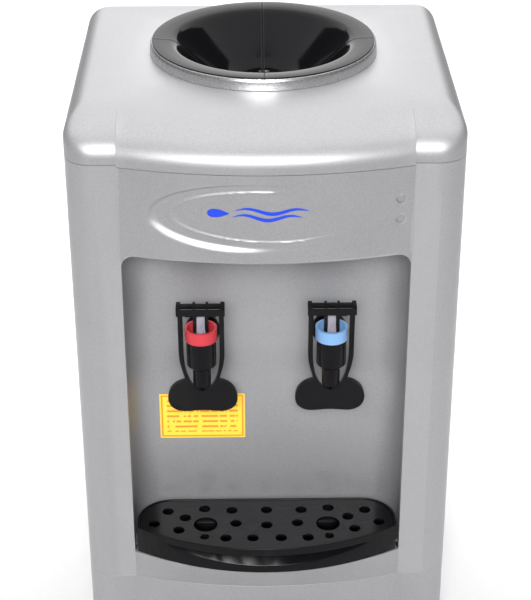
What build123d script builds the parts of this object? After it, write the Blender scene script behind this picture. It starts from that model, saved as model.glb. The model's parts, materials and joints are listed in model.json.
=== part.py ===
from build123d import *

import os
from math import atan2, cos, pi, sin, sqrt

# Countertop water dispenser for an upturned bottle, with a hot tap and a cold tap in a niche.
# Millimetres. +X is the dispenser's own left-to-right as seen from the front, +Y runs to the back, +Z is up.
# The origin is at the middle of the bounding box's foot print, on the surface that the feet stand on.

# ---------------------------------------------------------------- driving dimensions
WIDTH = 310.0                 # outside width of the cabinet
BODY_DEPTH = 290.0            # flat front of the corner columns to the back panel
TRAY_BULGE = 32.0             # the drip tray's rim stands this far in front of the columns
REAR_PROJECTION = 8.0         # the drain cap stands this far behind the back
FOOT_HEIGHT = 8.0
SEAM_LOW = 78.0               # top of the base moulding
SEAM_HIGH = 467.0             # underside of the top cover
TOP_Z = 499.0                 # flat of the top cover
LIP_Z = 103.5                 # lower edge of the niche opening
TRAY_RIM_Z = 128.5
NICHE_TOP_Z = 393.0           # upper edge of the niche opening
NICHE_DEPTH = 43.0            # columns' front to the niche's back wall
TAP_X = 52.5                  # taps stand this far each side of the middle
TAP_DEPTH = 4.5               # spout axis behind the columns' front
TAP_TAIL_Z = 300.0            # height of the threaded tails through the niche wall
SPOUT_Z = 270.0               # end of the spouts
RING_DEPTH = 162.0            # bottle seat's axis behind the columns' front
RING_RADIUS = 94.5

# ---------------------------------------------------------------- places worked out from them
FRONT = -(BODY_DEPTH + REAR_PROJECTION + TRAY_BULGE) / 2 + TRAY_BULGE
BACK = FRONT + BODY_DEPTH
HALF = WIDTH / 2
CREASE_X = 113.5              # where the bowed middle meets the flat columns
CORNER_R = 23.0
BACK_CORNER_R = 20.0
BOW = 17.4                    # bow of the base and the strip at the low seam
LIP_BOW = 29.5                # bow of the strip where it meets the tray
FASCIA_STEP = 3.8             # the fascia stands proud of the columns by this
SKIN = 3.0                    # moulded wall
SHEET = 1.2                   # steel sheet
GAP = 0.2                     # shut line between neighbouring panels
RING_Y = FRONT + RING_DEPTH
TAP_Y = FRONT + TAP_DEPTH
NICHE_Y = FRONT + NICHE_DEPTH
NICHE_HALF = 115.5
NICHE_CORNER = 25.0
NICHE_WALL = 2.5
COLUMN_RETURN = FRONT + 30.0  # where column and side panel meet
REAR_PANEL_Y = BACK - 2 * SHEET - 0.1

os.makedirs("parts", exist_ok=True)


def save(name, *solids):
    """Writes one node: one STEP file of one or more separate solids."""
    shape = solids[0] if len(solids) == 1 else Compound(children=list(solids))
    export_step(shape, f"parts/{name}.step")


def box(x0, x1, y0, y1, z0, z1):
    """Upright box between two corners."""
    return Pos((x0 + x1) / 2, (y0 + y1) / 2, (z0 + z1) / 2) * Box(x1 - x0, y1 - y0, z1 - z0)


def rod(radius, z0, z1, x=0.0, y=0.0):
    """Upright cylinder from z0 to z1."""
    return Pos(x, y, (z0 + z1) / 2) * Cylinder(radius, z1 - z0)


def rod_y(radius, y0, y1, x=0.0, z=0.0):
    """Cylinder lying along Y from y0 to y1."""
    return Pos(x, (y0 + y1) / 2, z) * Rot(90, 0, 0) * Cylinder(radius, y1 - y0)


def tube(outer, inner, z0, z1, x=0.0, y=0.0):
    """Upright tube."""
    return rod(outer, z0, z1, x, y) - rod(inner, z0 - 1, z1 + 1, x, y)


def tube_y(outer, inner, y0, y1, x=0.0, z=0.0):
    """Tube lying along Y."""
    return rod_y(outer, y0, y1, x, z) - rod_y(inner, y0 - 1, y1 + 1, x, z)


def turned(points, x=0.0, y=0.0):
    """Solid of revolution about an upright axis, from a closed (radius, z) outline."""
    profile = make_face(Polyline(*[(r, 0, z) for r, z in points], close=True))
    return Pos(x, y, 0) * revolve(profile, Axis.Z)


def slab(wire_edges, z0, z1):
    """Prism on a closed plan outline, from z0 to z1."""
    return Pos(0, 0, z0) * extrude(make_face(wire_edges), z1 - z0, dir=(0, 0, 1))


def arc_radius(chord_half, sag):
    """Radius of the arc that bows by sag over a chord of twice chord_half."""
    return (chord_half**2 + sag**2) / (2 * sag)


def body_plan(inset=0.0, sag=BOW):
    """Plan outline of the cabinet: flat columns, bowed middle, rounded front corners."""
    w, f, b = HALF - inset, FRONT + inset, BACK - inset
    r, rb = CORNER_R - inset, BACK_CORNER_R - inset
    radius = arc_radius(CREASE_X, sag) - inset
    centre = FRONT - sag + radius + inset
    x = sqrt(radius**2 - (centre - f) ** 2)
    bend = r * (1 - sin(pi / 4))
    back = rb * (1 - sin(pi / 4))
    return [
        ThreePointArc((-x, f), (0, centre - radius), (x, f)),
        Line((x, f), (w - r, f)),
        ThreePointArc((w - r, f), (w - bend, f + bend), (w, f + r)),
        Line((w, f + r), (w, b - rb)),
        ThreePointArc((w, b - rb), (w - back, b - back), (w - rb, b)),
        Line((w - rb, b), (-w + rb, b)),
        ThreePointArc((-w + rb, b), (-w + back, b - back), (-w, b - rb)),
        Line((-w, b - rb), (-w, f + r)),
        ThreePointArc((-w, f + r), (-w + bend, f + bend), (-w + r, f)),
        Line((-w + r, f), (-x, f)),
    ]


def bowed_plan(half_x, y_ends, sag, thick):
    """Plan outline of a strip of even thickness that bows forward between its ends."""
    radius = arc_radius(half_x, sag)
    centre = y_ends - sag + radius
    inner = radius - thick
    angle = atan2(half_x, centre - y_ends)
    xi, yi = inner * sin(angle), centre - inner * cos(angle)
    return [
        ThreePointArc((-half_x, y_ends), (0, y_ends - sag), (half_x, y_ends)),
        Line((half_x, y_ends), (xi, yi)),
        ThreePointArc((xi, yi), (0, centre - inner), (-xi, yi)),
        Line((-xi, yi), (-half_x, y_ends)),
    ]


def mirrored(shape):
    """The same solid on the other side of the middle plane."""
    return mirror(shape, about=Plane.YZ)


# ---------------------------------------------------------------- cabinet
BASE_FLOOR_Z = FOOT_HEIGHT + SKIN
FOOT_PEG_R = 3.2
FOOT_PLACES = [(sx * (HALF - 32), y) for sx in (-1, 1) for y in (FRONT + 42, BACK - 34)]
REAR_SCREWS = [(sx * (HALF - 27), z) for sx in (-1, 1) for z in (SEAM_LOW + 12, 272, SEAM_HIGH - 14)]


def base_tray():
    """Bottom moulding: a tub with a vented floor and four screw bosses."""
    tub = slab(body_plan(), FOOT_HEIGHT, SEAM_LOW - GAP)
    tub -= slab(body_plan(SKIN), BASE_FLOOR_Z, SEAM_LOW + 1)
    for row in range(7):
        y = -60 + 20 * row
        tub -= box(-60, 60, y - 2.5, y + 2.5, FOOT_HEIGHT - 1, BASE_FLOOR_Z + 1)
    for x, y in FOOT_PLACES:
        tub += tube(6, 1.6, BASE_FLOOR_Z - 0.5, SEAM_LOW - 16, x, y)
        tub -= rod(FOOT_PEG_R + 0.05, FOOT_HEIGHT - 1, BASE_FLOOR_Z, x, y)
    return tub


def foot(x, y):
    """Rubber foot: a button with a stem that plugs into the base floor."""
    button = rod(11, 0, FOOT_HEIGHT, x, y)
    button = fillet(button.edges().group_by(Axis.Z)[0], 1.5)
    return button + rod(FOOT_PEG_R, FOOT_HEIGHT - 0.5, BASE_FLOOR_Z - 0.6, x, y)


def column():
    """Left corner column, from the side panel's edge round to the niche, with an inward return."""
    f, w, r = FRONT, HALF, CORNER_R
    mid, mid_in = r * sin(pi / 4), (r - SKIN) * sin(pi / 4)
    x_end = CREASE_X + GAP / 2
    plan = [
        Line((-w, COLUMN_RETURN), (-w, f + r)),
        ThreePointArc((-w, f + r), (-w + r - mid, f + r - mid), (-w + r, f)),
        Line((-w + r, f), (-x_end, f)),
        Line((-x_end, f), (-x_end, f + 12)),
        Line((-x_end, f + 12), (-x_end - SKIN, f + 12)),
        Line((-x_end - SKIN, f + 12), (-x_end - SKIN, f + SKIN)),
        Line((-x_end - SKIN, f + SKIN), (-w + r, f + SKIN)),
        ThreePointArc((-w + r, f + SKIN), (-w + r - mid_in, f + r - mid_in), (-w + SKIN, f + r)),
        Line((-w + SKIN, f + r), (-w + SKIN, COLUMN_RETURN)),
        Line((-w + SKIN, COLUMN_RETURN), (-w, COLUMN_RETURN)),
    ]
    return slab(plan, SEAM_LOW, SEAM_HIGH - GAP)


def front_frame():
    """Both corner columns and the strip under the tray, which flares out to the lip."""
    x = CREASE_X + GAP
    sections = []
    for z, sag in ((SEAM_LOW, BOW), (LIP_Z, LIP_BOW)):
        sections.append(Pos(0, 0, z) * make_face(bowed_plan(x, FRONT + 0.1, sag, SKIN)))
    strip = loft(sections, ruled=True)
    tie = box(-x - 8, -x + 3, FRONT + 0.1, FRONT + SKIN, SEAM_LOW, LIP_Z)
    left = column()
    return left + mirrored(left) + strip + tie + mirrored(tie)


LAMP_X = 103.0
LAMP_Z = (440.4, 423.5)       # centres of the two lamp holes
LAMP_R = 3.2
LAMP_FACE_Y = FRONT - FASCIA_STEP - BOW * (1 - (LAMP_X / CREASE_X) ** 2)


def fascia_panel():
    """Bowed panel over the niche. Its lower corners round the niche opening."""
    corner = 12.0
    plan = bowed_plan(CREASE_X - GAP, FRONT - FASCIA_STEP, BOW, SKIN)
    plate = slab(plan, NICHE_TOP_Z - corner, SEAM_HIGH - GAP)
    opening = box(-CREASE_X, CREASE_X, FRONT - 40, FRONT + 20, NICHE_TOP_Z - 40, NICHE_TOP_Z)
    plate -= fillet(opening.edges().filter_by(Axis.Y).group_by(Axis.Z)[-1], corner)
    for z in LAMP_Z:
        plate -= rod_y(LAMP_R + 0.1, FRONT - 40, FRONT + 20, LAMP_X, z)
    return plate


def lamp_lens(z):
    """Clear button that fills one lamp hole, with a flange behind the fascia."""
    lens = rod_y(LAMP_R, LAMP_FACE_Y + 0.7, LAMP_FACE_Y + 6.5, LAMP_X, z)
    return lens + rod_y(LAMP_R + 1.2, LAMP_FACE_Y + 5.0, LAMP_FACE_Y + 7.5, LAMP_X, z)


def lamp_board():
    """Small circuit board with the two lamps, behind the lenses."""
    y = LAMP_FACE_Y + 11.0
    board = box(LAMP_X - 7, LAMP_X + 7, y, y + 1.6, LAMP_Z[1] - 9, LAMP_Z[0] + 9)
    for z in LAMP_Z:
        board += rod_y(2.5, y - 2.8, y + 0.5, LAMP_X, z)
    return board


def side_panel():
    """Left steel side: it wraps round the back corner on to the back panel and has louvres low down."""
    w, b, r, t = HALF, BACK, BACK_CORNER_R, SHEET
    mid, mid_in = r * sin(pi / 4), (r - t) * sin(pi / 4)
    flange = -w + r + 14
    plan = [
        Line((-w, COLUMN_RETURN + GAP), (-w, b - r)),
        ThreePointArc((-w, b - r), (-w + r - mid, b - r + mid), (-w + r, b)),
        Line((-w + r, b), (flange, b)),
        Line((flange, b), (flange, b - t)),
        Line((flange, b - t), (-w + r, b - t)),
        ThreePointArc((-w + r, b - t), (-w + r - mid_in, b - r + mid_in), (-w + t, b - r)),
        Line((-w + t, b - r), (-w + t, COLUMN_RETURN + GAP)),
        Line((-w + t, COLUMN_RETURN + GAP), (-w, COLUMN_RETURN + GAP)),
    ]
    panel = slab(plan, SEAM_LOW, SEAM_HIGH - GAP)
    for row in range(6):
        z = 120 + 12 * row
        panel -= box(-w - 1, -w + t + 1, b - 100, b - 45, z - 2, z + 2)
    for x, z in REAR_SCREWS:
        if x < 0:
            panel -= rod_y(2.0, b - 3, b + 1, x, z)
    return panel


FAN_Z = 350.0
FAN_R = 43.0
SWITCH_X = {"hot": -78.0, "cold": -48.0}
SWITCH_Z = 140.0
GLAND_X, GLAND_Z = 80.0, 105.0
DRAIN_X, DRAIN_Z = -40.0, 92.0


def rear_panel():
    """Steel back with the fan grille, vents, switch cut-outs, drain hole and gland hole."""
    y0, y1 = REAR_PANEL_Y, REAR_PANEL_Y + SHEET
    panel = box(-HALF + BACK_CORNER_R, HALF - BACK_CORNER_R, y0, y1, SEAM_LOW + GAP, SEAM_HIGH - GAP)
    spokes = box(-2, 2, y0 - 2, y1 + 2, -FAN_R, FAN_R) + box(-FAN_R, FAN_R, y0 - 2, y1 + 2, -2, 2)
    spokes = Pos(0, 0, FAN_Z) * Rot(0, 45, 0) * spokes
    for ring in range(4):
        mid = 10.5 + 9.5 * ring
        panel -= tube_y(mid + 2.6, mid - 2.6, y0 - 1, y1 + 1, 0, FAN_Z) - spokes
    for side in (-1, 1):
        for row in range(7):
            z = 200 + 11 * row
            panel -= box(side * 85 - 26, side * 85 + 26, y0 - 1, y1 + 1, z - 2, z + 2)
    for x in SWITCH_X.values():
        panel -= box(x - 6.6, x + 6.6, y0 - 1, y1 + 1, SWITCH_Z - 9.6, SWITCH_Z + 9.6)
    panel -= rod_y(8.1, y0 - 1, y1 + 1, GLAND_X, GLAND_Z)
    panel -= rod_y(7.1, y0 - 1, y1 + 1, DRAIN_X, DRAIN_Z)
    for x, z in REAR_SCREWS:
        panel -= rod_y(2.0, y0 - 1, y1 + 1, x, z)
    return panel


def rear_screws():
    """Six pan-head screws that hold the side panels' flanges and the back panel together."""
    made = []
    for x, z in REAR_SCREWS:
        head = rod_y(3.6, BACK + 0.05, BACK + 2.2, x, z) - rod_y(1.0, BACK + 1.2, BACK + 3, x, z)
        made.append(head + rod_y(1.85, REAR_PANEL_Y - 4, BACK + 0.5, x, z))
    return made


def cord_gland():
    """Rubber grommet in the hole where the mains lead goes in."""
    y0, y1 = REAR_PANEL_Y, REAR_PANEL_Y + SHEET
    gland = tube_y(8.0, 4.0, y0 - 2, y1 + 2, GLAND_X, GLAND_Z)
    for start in (y0 - 2.1, y1 + 0.1):
        gland += tube_y(10.5, 4.0, start, start + 2, GLAND_X, GLAND_Z)
    return gland


TOP_ROUND_Y, TOP_ROUND_Z = 50.0, 27.0   # front rounding of the top cover: a quarter of an ellipse
TOP_SIDE_R = 17.0


def cover_columns(inset):
    """Outer form of the cover without its bowed middle: a cap rounded over on every side."""
    w, f, b, top = HALF - inset, FRONT + inset, BACK - inset, TOP_Z - inset
    low = SEAM_HIGH - (1 if inset else 0)
    r, rb, rs = CORNER_R - inset, BACK_CORNER_R - inset, TOP_SIDE_R - inset
    cap = Pos(0, (f + b) / 2, low) * extrude(RectangleRounded(2 * w, b - f, rb), top - low)
    corners = box(-w, w, f, f + rb, low - 1, top + 1)
    corners -= Pos(0, (f + b) / 2, low - 1) * extrude(RectangleRounded(2 * w, b - f, r), top - low + 2)
    cap -= corners
    ry, rz = TOP_ROUND_Y - inset, TOP_ROUND_Z - inset
    side = Plane.YZ * make_face([
        Line((b, low), (f, low)),
        Line((f, low), (f, top - rz)),
        EllipticalCenterArc((f + ry, top - rz), ry, rz, start_angle=90, arc_size=90),
        Line((f + ry, top), (b - rs, top)),
        EllipticalCenterArc((b - rs, top - rs), rs, rs, start_angle=0, arc_size=90),
        Line((b, top - rs), (b, low)),
    ])
    cap = cap & extrude(side, HALF + 5, both=True)
    front = Plane.XZ * make_face([
        Line((-w, low), (w, low)),
        Line((w, low), (w, top - rs)),
        EllipticalCenterArc((w - rs, top - rs), rs, rs, start_angle=0, arc_size=90),
        Line((w - rs, top), (-w + rs, top)),
        EllipticalCenterArc((-w + rs, top - rs), rs, rs, start_angle=90, arc_size=90),
        Line((-w, top - rs), (-w, low)),
    ])
    return cap & extrude(front, 2 * BODY_DEPTH, both=True)


def cover_middle(inset):
    """Outer form of the cover's bowed middle: the front profile turned about the bow's axis."""
    radius = arc_radius(CREASE_X, BOW)
    centre = FRONT - FASCIA_STEP - BOW + radius
    reach, top = radius - inset, TOP_Z - inset
    low = SEAM_HIGH - (1 if inset else 0)
    ry, rz = TOP_ROUND_Y + 8 - inset, TOP_ROUND_Z - inset
    profile = Plane.XZ * make_face([
        Line((reach - 120, low), (reach, low)),
        Line((reach, low), (reach, top - rz)),
        EllipticalCenterArc((reach - ry, top - rz), ry, rz, start_angle=0, arc_size=90),
        Line((reach - ry, top), (reach - 120, top)),
        Line((reach - 120, top), (reach - 120, low)),
    ])
    ring = Pos(0, centre, 0) * revolve(profile, Axis.Z)
    half = CREASE_X - inset
    return ring & box(-half, half, FRONT - 40, FRONT + 70, low - 1, top + 1)


FUNNEL_HOLE_R = 86.0


def top_cover():
    """Moulded lid of the cabinet, open below, with the round hole for the bottle seat."""
    shell = cover_columns(0) + cover_middle(0) - cover_columns(SKIN) - cover_middle(SKIN)
    return shell - rod(FUNNEL_HOLE_R, SEAM_HIGH, TOP_Z + 1, 0, RING_Y)


# ---------------------------------------------------------------- bottle seat
RING_TOP_Z = TOP_Z + 9.6
RIM_Z = TOP_Z + 10.6
THROAT_R = 31.0
THROAT_BOTTOM_Z = 446.0
PROBE_SHOULDER_Z = 470.0      # where the spike becomes its domed tip


def bottle_ring():
    """Silver collar that stands on the cover round the funnel."""
    r = RING_RADIUS
    outline = [(r - 5, TOP_Z + 0.1), (r, TOP_Z + 0.1), (r - 1.2, RING_TOP_Z), (r - 5, RING_TOP_Z)]
    return turned(outline, 0, RING_Y)


def bottle_funnel():
    """Gloss funnel that the bottle's shoulder rests in, with a throat for its neck."""
    wall = 2.5
    rim = RING_RADIUS - 2.0
    neck = FUNNEL_HOLE_R - 1.0
    profile = [
        (rim, RING_TOP_Z + 0.3), (rim, RIM_Z - 0.5), (rim - 0.8, RIM_Z),
        (77.0, RIM_Z - 1.2), (73.0, RIM_Z - 3.0), (68.5, RIM_Z - 7.0),
        (THROAT_R + 8, RIM_Z - 35.0), (THROAT_R + 1.5, RIM_Z - 40.0), (THROAT_R, RIM_Z - 44.0),
        (THROAT_R, THROAT_BOTTOM_Z + wall), (9.0, THROAT_BOTTOM_Z + wall), (9.0, THROAT_BOTTOM_Z),
        (THROAT_R + wall, THROAT_BOTTOM_Z), (THROAT_R + wall, RIM_Z - 45.0),
        (THROAT_R + 10.5, RIM_Z - 37.0), (71.0, RIM_Z - 9.2), (75.0, RIM_Z - 5.0),
        (neck - 2.5, RIM_Z - 3.6), (neck - 2.5, TOP_Z - 8.0), (neck, TOP_Z - 8.0), (neck, RING_TOP_Z + 0.3),
    ]
    return turned(profile, 0, RING_Y)


def bottle_probe():
    """Feed spike that opens the bottle's cap: a tube with a domed tip, ports and a foot flange."""
    base, shoulder = THROAT_BOTTOM_Z + 2.6, PROBE_SHOULDER_Z
    spike = tube(6.0, 3.8, base, shoulder, 0, RING_Y)
    dome = Pos(0, RING_Y, shoulder) * Sphere(6.0)
    dome -= box(-7, 7, RING_Y - 7, RING_Y + 7, shoulder - 8, shoulder)
    probe = spike + dome + tube(16.0, 3.8, base, base + 2.5, 0, RING_Y)
    for turn in (0, 90):
        probe -= Pos(0, RING_Y, shoulder - 8) * Rot(0, 0, turn) * Box(20, 3.2, 9)
    return probe


# ---------------------------------------------------------------- niche and drip tray
def niche_plan(inset, front_y, front_sag=0.0):
    """Plan of the niche: straight back, rounded back corners, straight or bowed front."""
    w, b, r = NICHE_HALF - inset, NICHE_Y - inset, NICHE_CORNER - inset
    mid = r * sin(pi / 4)
    front = Line((-w, front_y), (w, front_y))
    if front_sag:
        front = ThreePointArc((-w, front_y), (0, front_y - front_sag), (w, front_y))
    return [
        front,
        Line((w, front_y), (w, b - r)),
        ThreePointArc((w, b - r), (w - r + mid, b - r + mid), (w - r, b)),
        Line((w - r, b), (-w + r, b)),
        ThreePointArc((-w + r, b), (-w + r - mid, b - r + mid), (-w, b - r)),
        Line((-w, b - r), (-w, front_y)),
    ]


def niche_liner():
    """Moulded niche: back wall with rounded corners, sides, ceiling and floor, and the tap holes."""
    front_y = FRONT + 12.3
    ceiling_z, low = NICHE_TOP_Z + 3.0, LIP_Z - NICHE_WALL
    liner = slab(niche_plan(-NICHE_WALL, front_y), low, ceiling_z + NICHE_WALL)
    liner -= slab(niche_plan(0, front_y - 1), LIP_Z - 0.05, ceiling_z)
    liner += slab(niche_plan(3.4, FRONT + 3.8, 27.9), low, LIP_Z - 0.05)
    liner += slab(niche_plan(3.2, FRONT + 0.6, 17.2), ceiling_z, ceiling_z + NICHE_WALL)
    for sx in (-1, 1):
        liner -= rod_y(10.6, NICHE_Y - 2, NICHE_Y + 6, sx * TAP_X, TAP_TAIL_Z)
    return liner


def niche_label():
    """Sticker on the niche wall under the left tap."""
    return box(-90.4, -18.0, NICHE_Y - 0.35, NICHE_Y - 0.05, 192.0, 236.0)


TRAY_HALF = 111.0
TRAY_BACK_Y = FRONT + 41.5
TRAY_CORNER = 29.0
TRAY_WALL = 2.2
TRAY_LOW_Z = LIP_Z + 0.3
TRAY_ARC_R = arc_radius(TRAY_HALF, TRAY_BULGE)
GRIP_TOP_Z = TRAY_RIM_Z - 7.2


def tray_plan(inset, front_inset=None):
    """Plan of the tray, drawn in by inset, with its bowed front drawn in by front_inset."""
    front = inset if front_inset is None else front_inset
    w, b, r = TRAY_HALF - inset, TRAY_BACK_Y - inset, TRAY_CORNER - inset
    centre, radius = FRONT - TRAY_BULGE + TRAY_ARC_R, TRAY_ARC_R - front
    y = centre - sqrt(radius**2 - w**2)
    mid = r * sin(pi / 4)
    return [
        ThreePointArc((-w, y), (0, centre - radius), (w, y)),
        Line((w, y), (w, b - r)),
        ThreePointArc((w, b - r), (w - r + mid, b - r + mid), (w - r, b)),
        Line((w - r, b), (-w + r, b)),
        ThreePointArc((-w + r, b), (-w + r - mid, b - r + mid), (-w, b - r)),
        Line((-w, b - r), (-w, y)),
    ]


def grip_cut():
    """Finger grip under the rim's front: a flat ceiling and a slope that runs out to the tray's face."""
    run, reach, ceiling_bow = 10.5, 88.0, 9.0
    ends = FRONT - TRAY_BULGE + TRAY_ARC_R - sqrt(TRAY_ARC_R**2 - reach**2)
    ceiling = make_face([
        ThreePointArc((-reach, ends), (0, ends - ceiling_bow), (reach, ends)),
        Line((reach, ends), (reach, FRONT - 60)),
        Line((reach, FRONT - 60), (-reach, FRONT - 60)),
        Line((-reach, FRONT - 60), (-reach, ends)),
    ])
    return extrude(Pos(0, 0, GRIP_TOP_Z) * ceiling, run * sqrt(2), dir=(0, -1, -1))


def drip_tray():
    """Removable gloss tray with a stepped basin, a ledge for the grate and a finger grip."""
    tray = slab(tray_plan(0), TRAY_LOW_Z, TRAY_RIM_Z)
    tray -= slab(tray_plan(2 * TRAY_WALL, 12.4), TRAY_LOW_Z + TRAY_WALL, TRAY_RIM_Z + 1)
    tray -= slab(tray_plan(TRAY_WALL), TRAY_RIM_Z - 3.4, TRAY_RIM_Z + 1)
    return tray - grip_cut()


DRAIN_HOLES = [(0, 24.9), (0, 3.0)] + [
    (sx * x, depth) for sx in (-1, 1) for x, depth in (
        (30.0, 24.6), (53.7, 27.2), (85.3, 23.8), (26.4, 5.8), (70.2, 14.4), (96.6, 6.1),
        (12.0, -15.1), (34.9, -14.9), (75.2, -3.1),
    )
]


def drip_grate():
    """Perforated plate that lies in the tray's rim. The two large holes sit under the spouts."""
    plate = slab(tray_plan(TRAY_WALL + 0.5), TRAY_RIM_Z - 3.1, TRAY_RIM_Z - 0.6)
    z0, z1 = TRAY_RIM_Z - 5, TRAY_RIM_Z + 1
    for x, depth in DRAIN_HOLES:
        plate -= rod(4.9, z0, z1, x, FRONT + depth)
    for sx in (-1, 1):
        plate -= rod(10.2, z0, z1, sx * TAP_X, TAP_Y)
        plate -= rod(3.9, z0, z1, sx * 53.0, FRONT - 12.9)
    return plate


# ---------------------------------------------------------------- taps
COLLAR_LOW, COLLAR_HIGH = 312.5, 323.0
SEAT_Z = 293.0                # valve seat inside the barrel
PIN_Z = 319.0                 # lever's pivot at rest
BAR_Z = 345.0                 # top of the lever's thumb bar
STEM_TAB_Z = 333.0            # top of the stem's tab, between the lever's prongs
LEVER_LEAN = 6.9              # degrees that the lever's arms lean back at rest
TAIL_R, BARB_R, BARB_BORE = 10.3, 6.0, 4.2
TAIL_END = NICHE_Y + 12.0
BARB_END = TAIL_END + 12.0
NUT_Y = NICHE_Y + NICHE_WALL + 1.9


def tap_body(x):
    """Barrel, spout, threaded tail and hose barb in one moulding, with the valve seat inside."""
    y = TAP_Y
    body = turned([
        (0, COLLAR_LOW), (12.0, COLLAR_LOW), (12.0, 289.5), (7.6, 285.5), (7.2, SPOUT_Z), (0, SPOUT_Z),
    ], x, y)
    body += rod_y(TAIL_R, y + 6, TAIL_END, x, TAP_TAIL_Z)
    body += rod_y(BARB_R, TAIL_END - 1, BARB_END, x, TAP_TAIL_Z)
    body += rod_y(14.5, NICHE_Y - 3.2, NICHE_Y - 0.1, x, TAP_TAIL_Z)
    body -= rod(4.6, SPOUT_Z - 1, SEAT_Z + 0.1, x, y)
    body -= rod(9.5, SEAT_Z, COLLAR_LOW + 1, x, y)
    return body - rod_y(BARB_BORE, y, BARB_END + 1, x, TAP_TAIL_Z)


def tap_collar(x):
    """Coloured cup on top of the barrel, notched at the back, that the stem comes up through."""
    cup = tube(13.15, 10.9, COLLAR_LOW + 0.1, COLLAR_HIGH, x, TAP_Y)
    cup += tube(11.2, 3.2, COLLAR_LOW + 0.1, COLLAR_LOW + 1.6, x, TAP_Y)
    return cup - box(x - 5.2, x + 5.2, TAP_Y + 2, TAP_Y + 16, COLLAR_HIGH - 7.5, COLLAR_HIGH + 1)


def tap_stem(x):
    """Valve stem: a rod with a foot disc, a cross pin that the lever hangs on and a flat tab above it."""
    stem = rod(2.8, SEAT_Z + 7, PIN_Z + 2.2, x, TAP_Y) + rod(5.0, SEAT_Z + 6.1, SEAT_Z + 7.7, x, TAP_Y)
    stem += box(x - 3.2, x + 3.2, TAP_Y - 1.6, TAP_Y + 1.6, PIN_Z - 1.0, STEM_TAB_Z)
    return stem + Pos(x, TAP_Y, PIN_Z) * Rot(0, 90, 0) * Cylinder(1.6, 12.0)


def tap_seal(x):
    """Silicone plug at the stem's foot that closes the valve seat."""
    outline = [(0, 0.4), (6.4, 0.4), (7.6, 2.4), (7.6, 6.0), (0, 6.0)]
    return turned([(r, SEAT_Z + z) for r, z in outline], x, TAP_Y)


def tap_spring(x):
    """Helical spring round the stem, between its foot disc and the collar's floor."""
    wire, z0, z1 = 0.45, SEAT_Z + 8.3, COLLAR_LOW - 0.6
    coil = Pos(x, TAP_Y, z0) * Helix(pitch=1.85, height=z1 - z0, radius=4.4)
    section = Plane(origin=coil @ 0, z_dir=coil % 0) * Circle(wire)
    return sweep(section, path=coil, is_frenet=True)


def lever_blade():
    """Right half of the lever's arms and paddle, flat in X and Z."""
    top, waist, low = BAR_Z - 3.0, 267.6, 235.6
    outline = [
        Line((0.0, low + 1.0), (0.0, 257.2)),
        Bezier((0.0, 257.2), (9.6, 257.2), (14.4, 274.0), (14.6, 296.0)),
        Line((14.6, 296.0), (14.6, top)),
        Line((14.6, top), (18.6, top)),
        Line((18.6, top), (18.6, 296.0)),
        Bezier((18.6, 296.0), (18.4, 282.0), (14.4, 274.0), (14.0, waist)),
        Bezier((14.0, waist), (22.0, 266.2), (28.75, 259.0), (28.75, 249.5)),
        Bezier((28.75, 249.5), (28.75, 240.0), (22.0, low - 0.4), (14.0, low)),
        Bezier((14.0, low), (9.0, low + 0.25), (5.0, low + 1.0), (0.0, low + 1.0)),
    ]
    return extrude(Plane.XZ * make_face(outline), 2.0, both=True)


def tap_lever(x):
    """Lever: thumb bar with webs, two arms, a paddle behind the spout, two prongs that hold the pin."""
    half = lever_blade()
    blade = Pos(0, 0, BAR_Z) * Rot(LEVER_LEAN, 0, 0) * Pos(0, 0, -BAR_Z) * (half + mirrored(half))
    bar = box(-19.5, 19.5, -7.5, 2.4, BAR_Z - 4.6, BAR_Z - 1.2)
    bar += box(-19.5, 19.5, -7.5, -4.5, BAR_Z - 8.2, BAR_Z - 2.2)
    bar = fillet(bar.edges().filter_by(Axis.X).group_by(Axis.Z)[-1], 1.2)
    for sx in (-1, 1):
        for ridge_x, ridge in ((5.2, 1.0), (17.6, 1.7)):
            centre = sx * ridge_x
            bar += box(centre - ridge, centre + ridge, -7.4, 2.3, BAR_Z - 2.2, BAR_Z)
        bar += box(sx * 9.2 - 3.2, sx * 9.2 + 3.2, 0.0, 2.4, BAR_Z - 13, BAR_Z - 3)
        prong = box(sx * 4.85 - 1.35, sx * 4.85 + 1.35, -3.0, 3.0, PIN_Z - 3.0, BAR_Z - 3)
        bar += prong - Pos(sx * 4.85, 0, PIN_Z) * Rot(0, 90, 0) * Cylinder(1.65, 4)
    return Pos(x, TAP_Y, 0) * (blade + bar)


def tap_gasket(x):
    """Rubber washer behind the niche wall."""
    return tube_y(14.0, 10.6, NUT_Y - 1.8, NUT_Y - 0.1, x, TAP_TAIL_Z)


def tap_nut(x):
    """Hexagonal nut on the tail, behind the washer."""
    hexagon = Pos(x, NUT_Y, TAP_TAIL_Z) * Rot(-90, 0, 0) * extrude(RegularPolygon(15, 6), 5.5)
    return hexagon - rod_y(TAIL_R + 0.05, NUT_Y - 1, NUT_Y + 7, x, TAP_TAIL_Z)


# ---------------------------------------------------------------- water circuit
SHELF_Z = 273.0
COLD_Y = RING_Y
COLD_Z0, COLD_Z1 = 289.0, 440.0
COLD_HALF_X, COLD_HALF_Y = 62.0, 52.0
FOAM = 14.0
HOT_X, HOT_Y, HOT_R = -40.0, FRONT + 112.0, 46.0
HOT_Z0, HOT_Z1 = 120.0, 250.0
FEED_Y = FRONT + 136.0        # the pipe from the cold tank down to the hot tank
HOT_OUT_Y = FRONT + 80.0      # the hot tank's outlet, under the hot tap's hose
SPIGOT_R, SPIGOT_BORE = 6.0, 4.2
HOSE_OUT, HOSE_IN = 8.0, 6.1


def rounded_block(half_x, half_y, z0, z1, y, radius):
    """Upright block with rounded vertical edges, centred on x = 0."""
    return Pos(0, y, z0) * extrude(RectangleRounded(2 * half_x, 2 * half_y, radius), z1 - z0)


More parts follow.
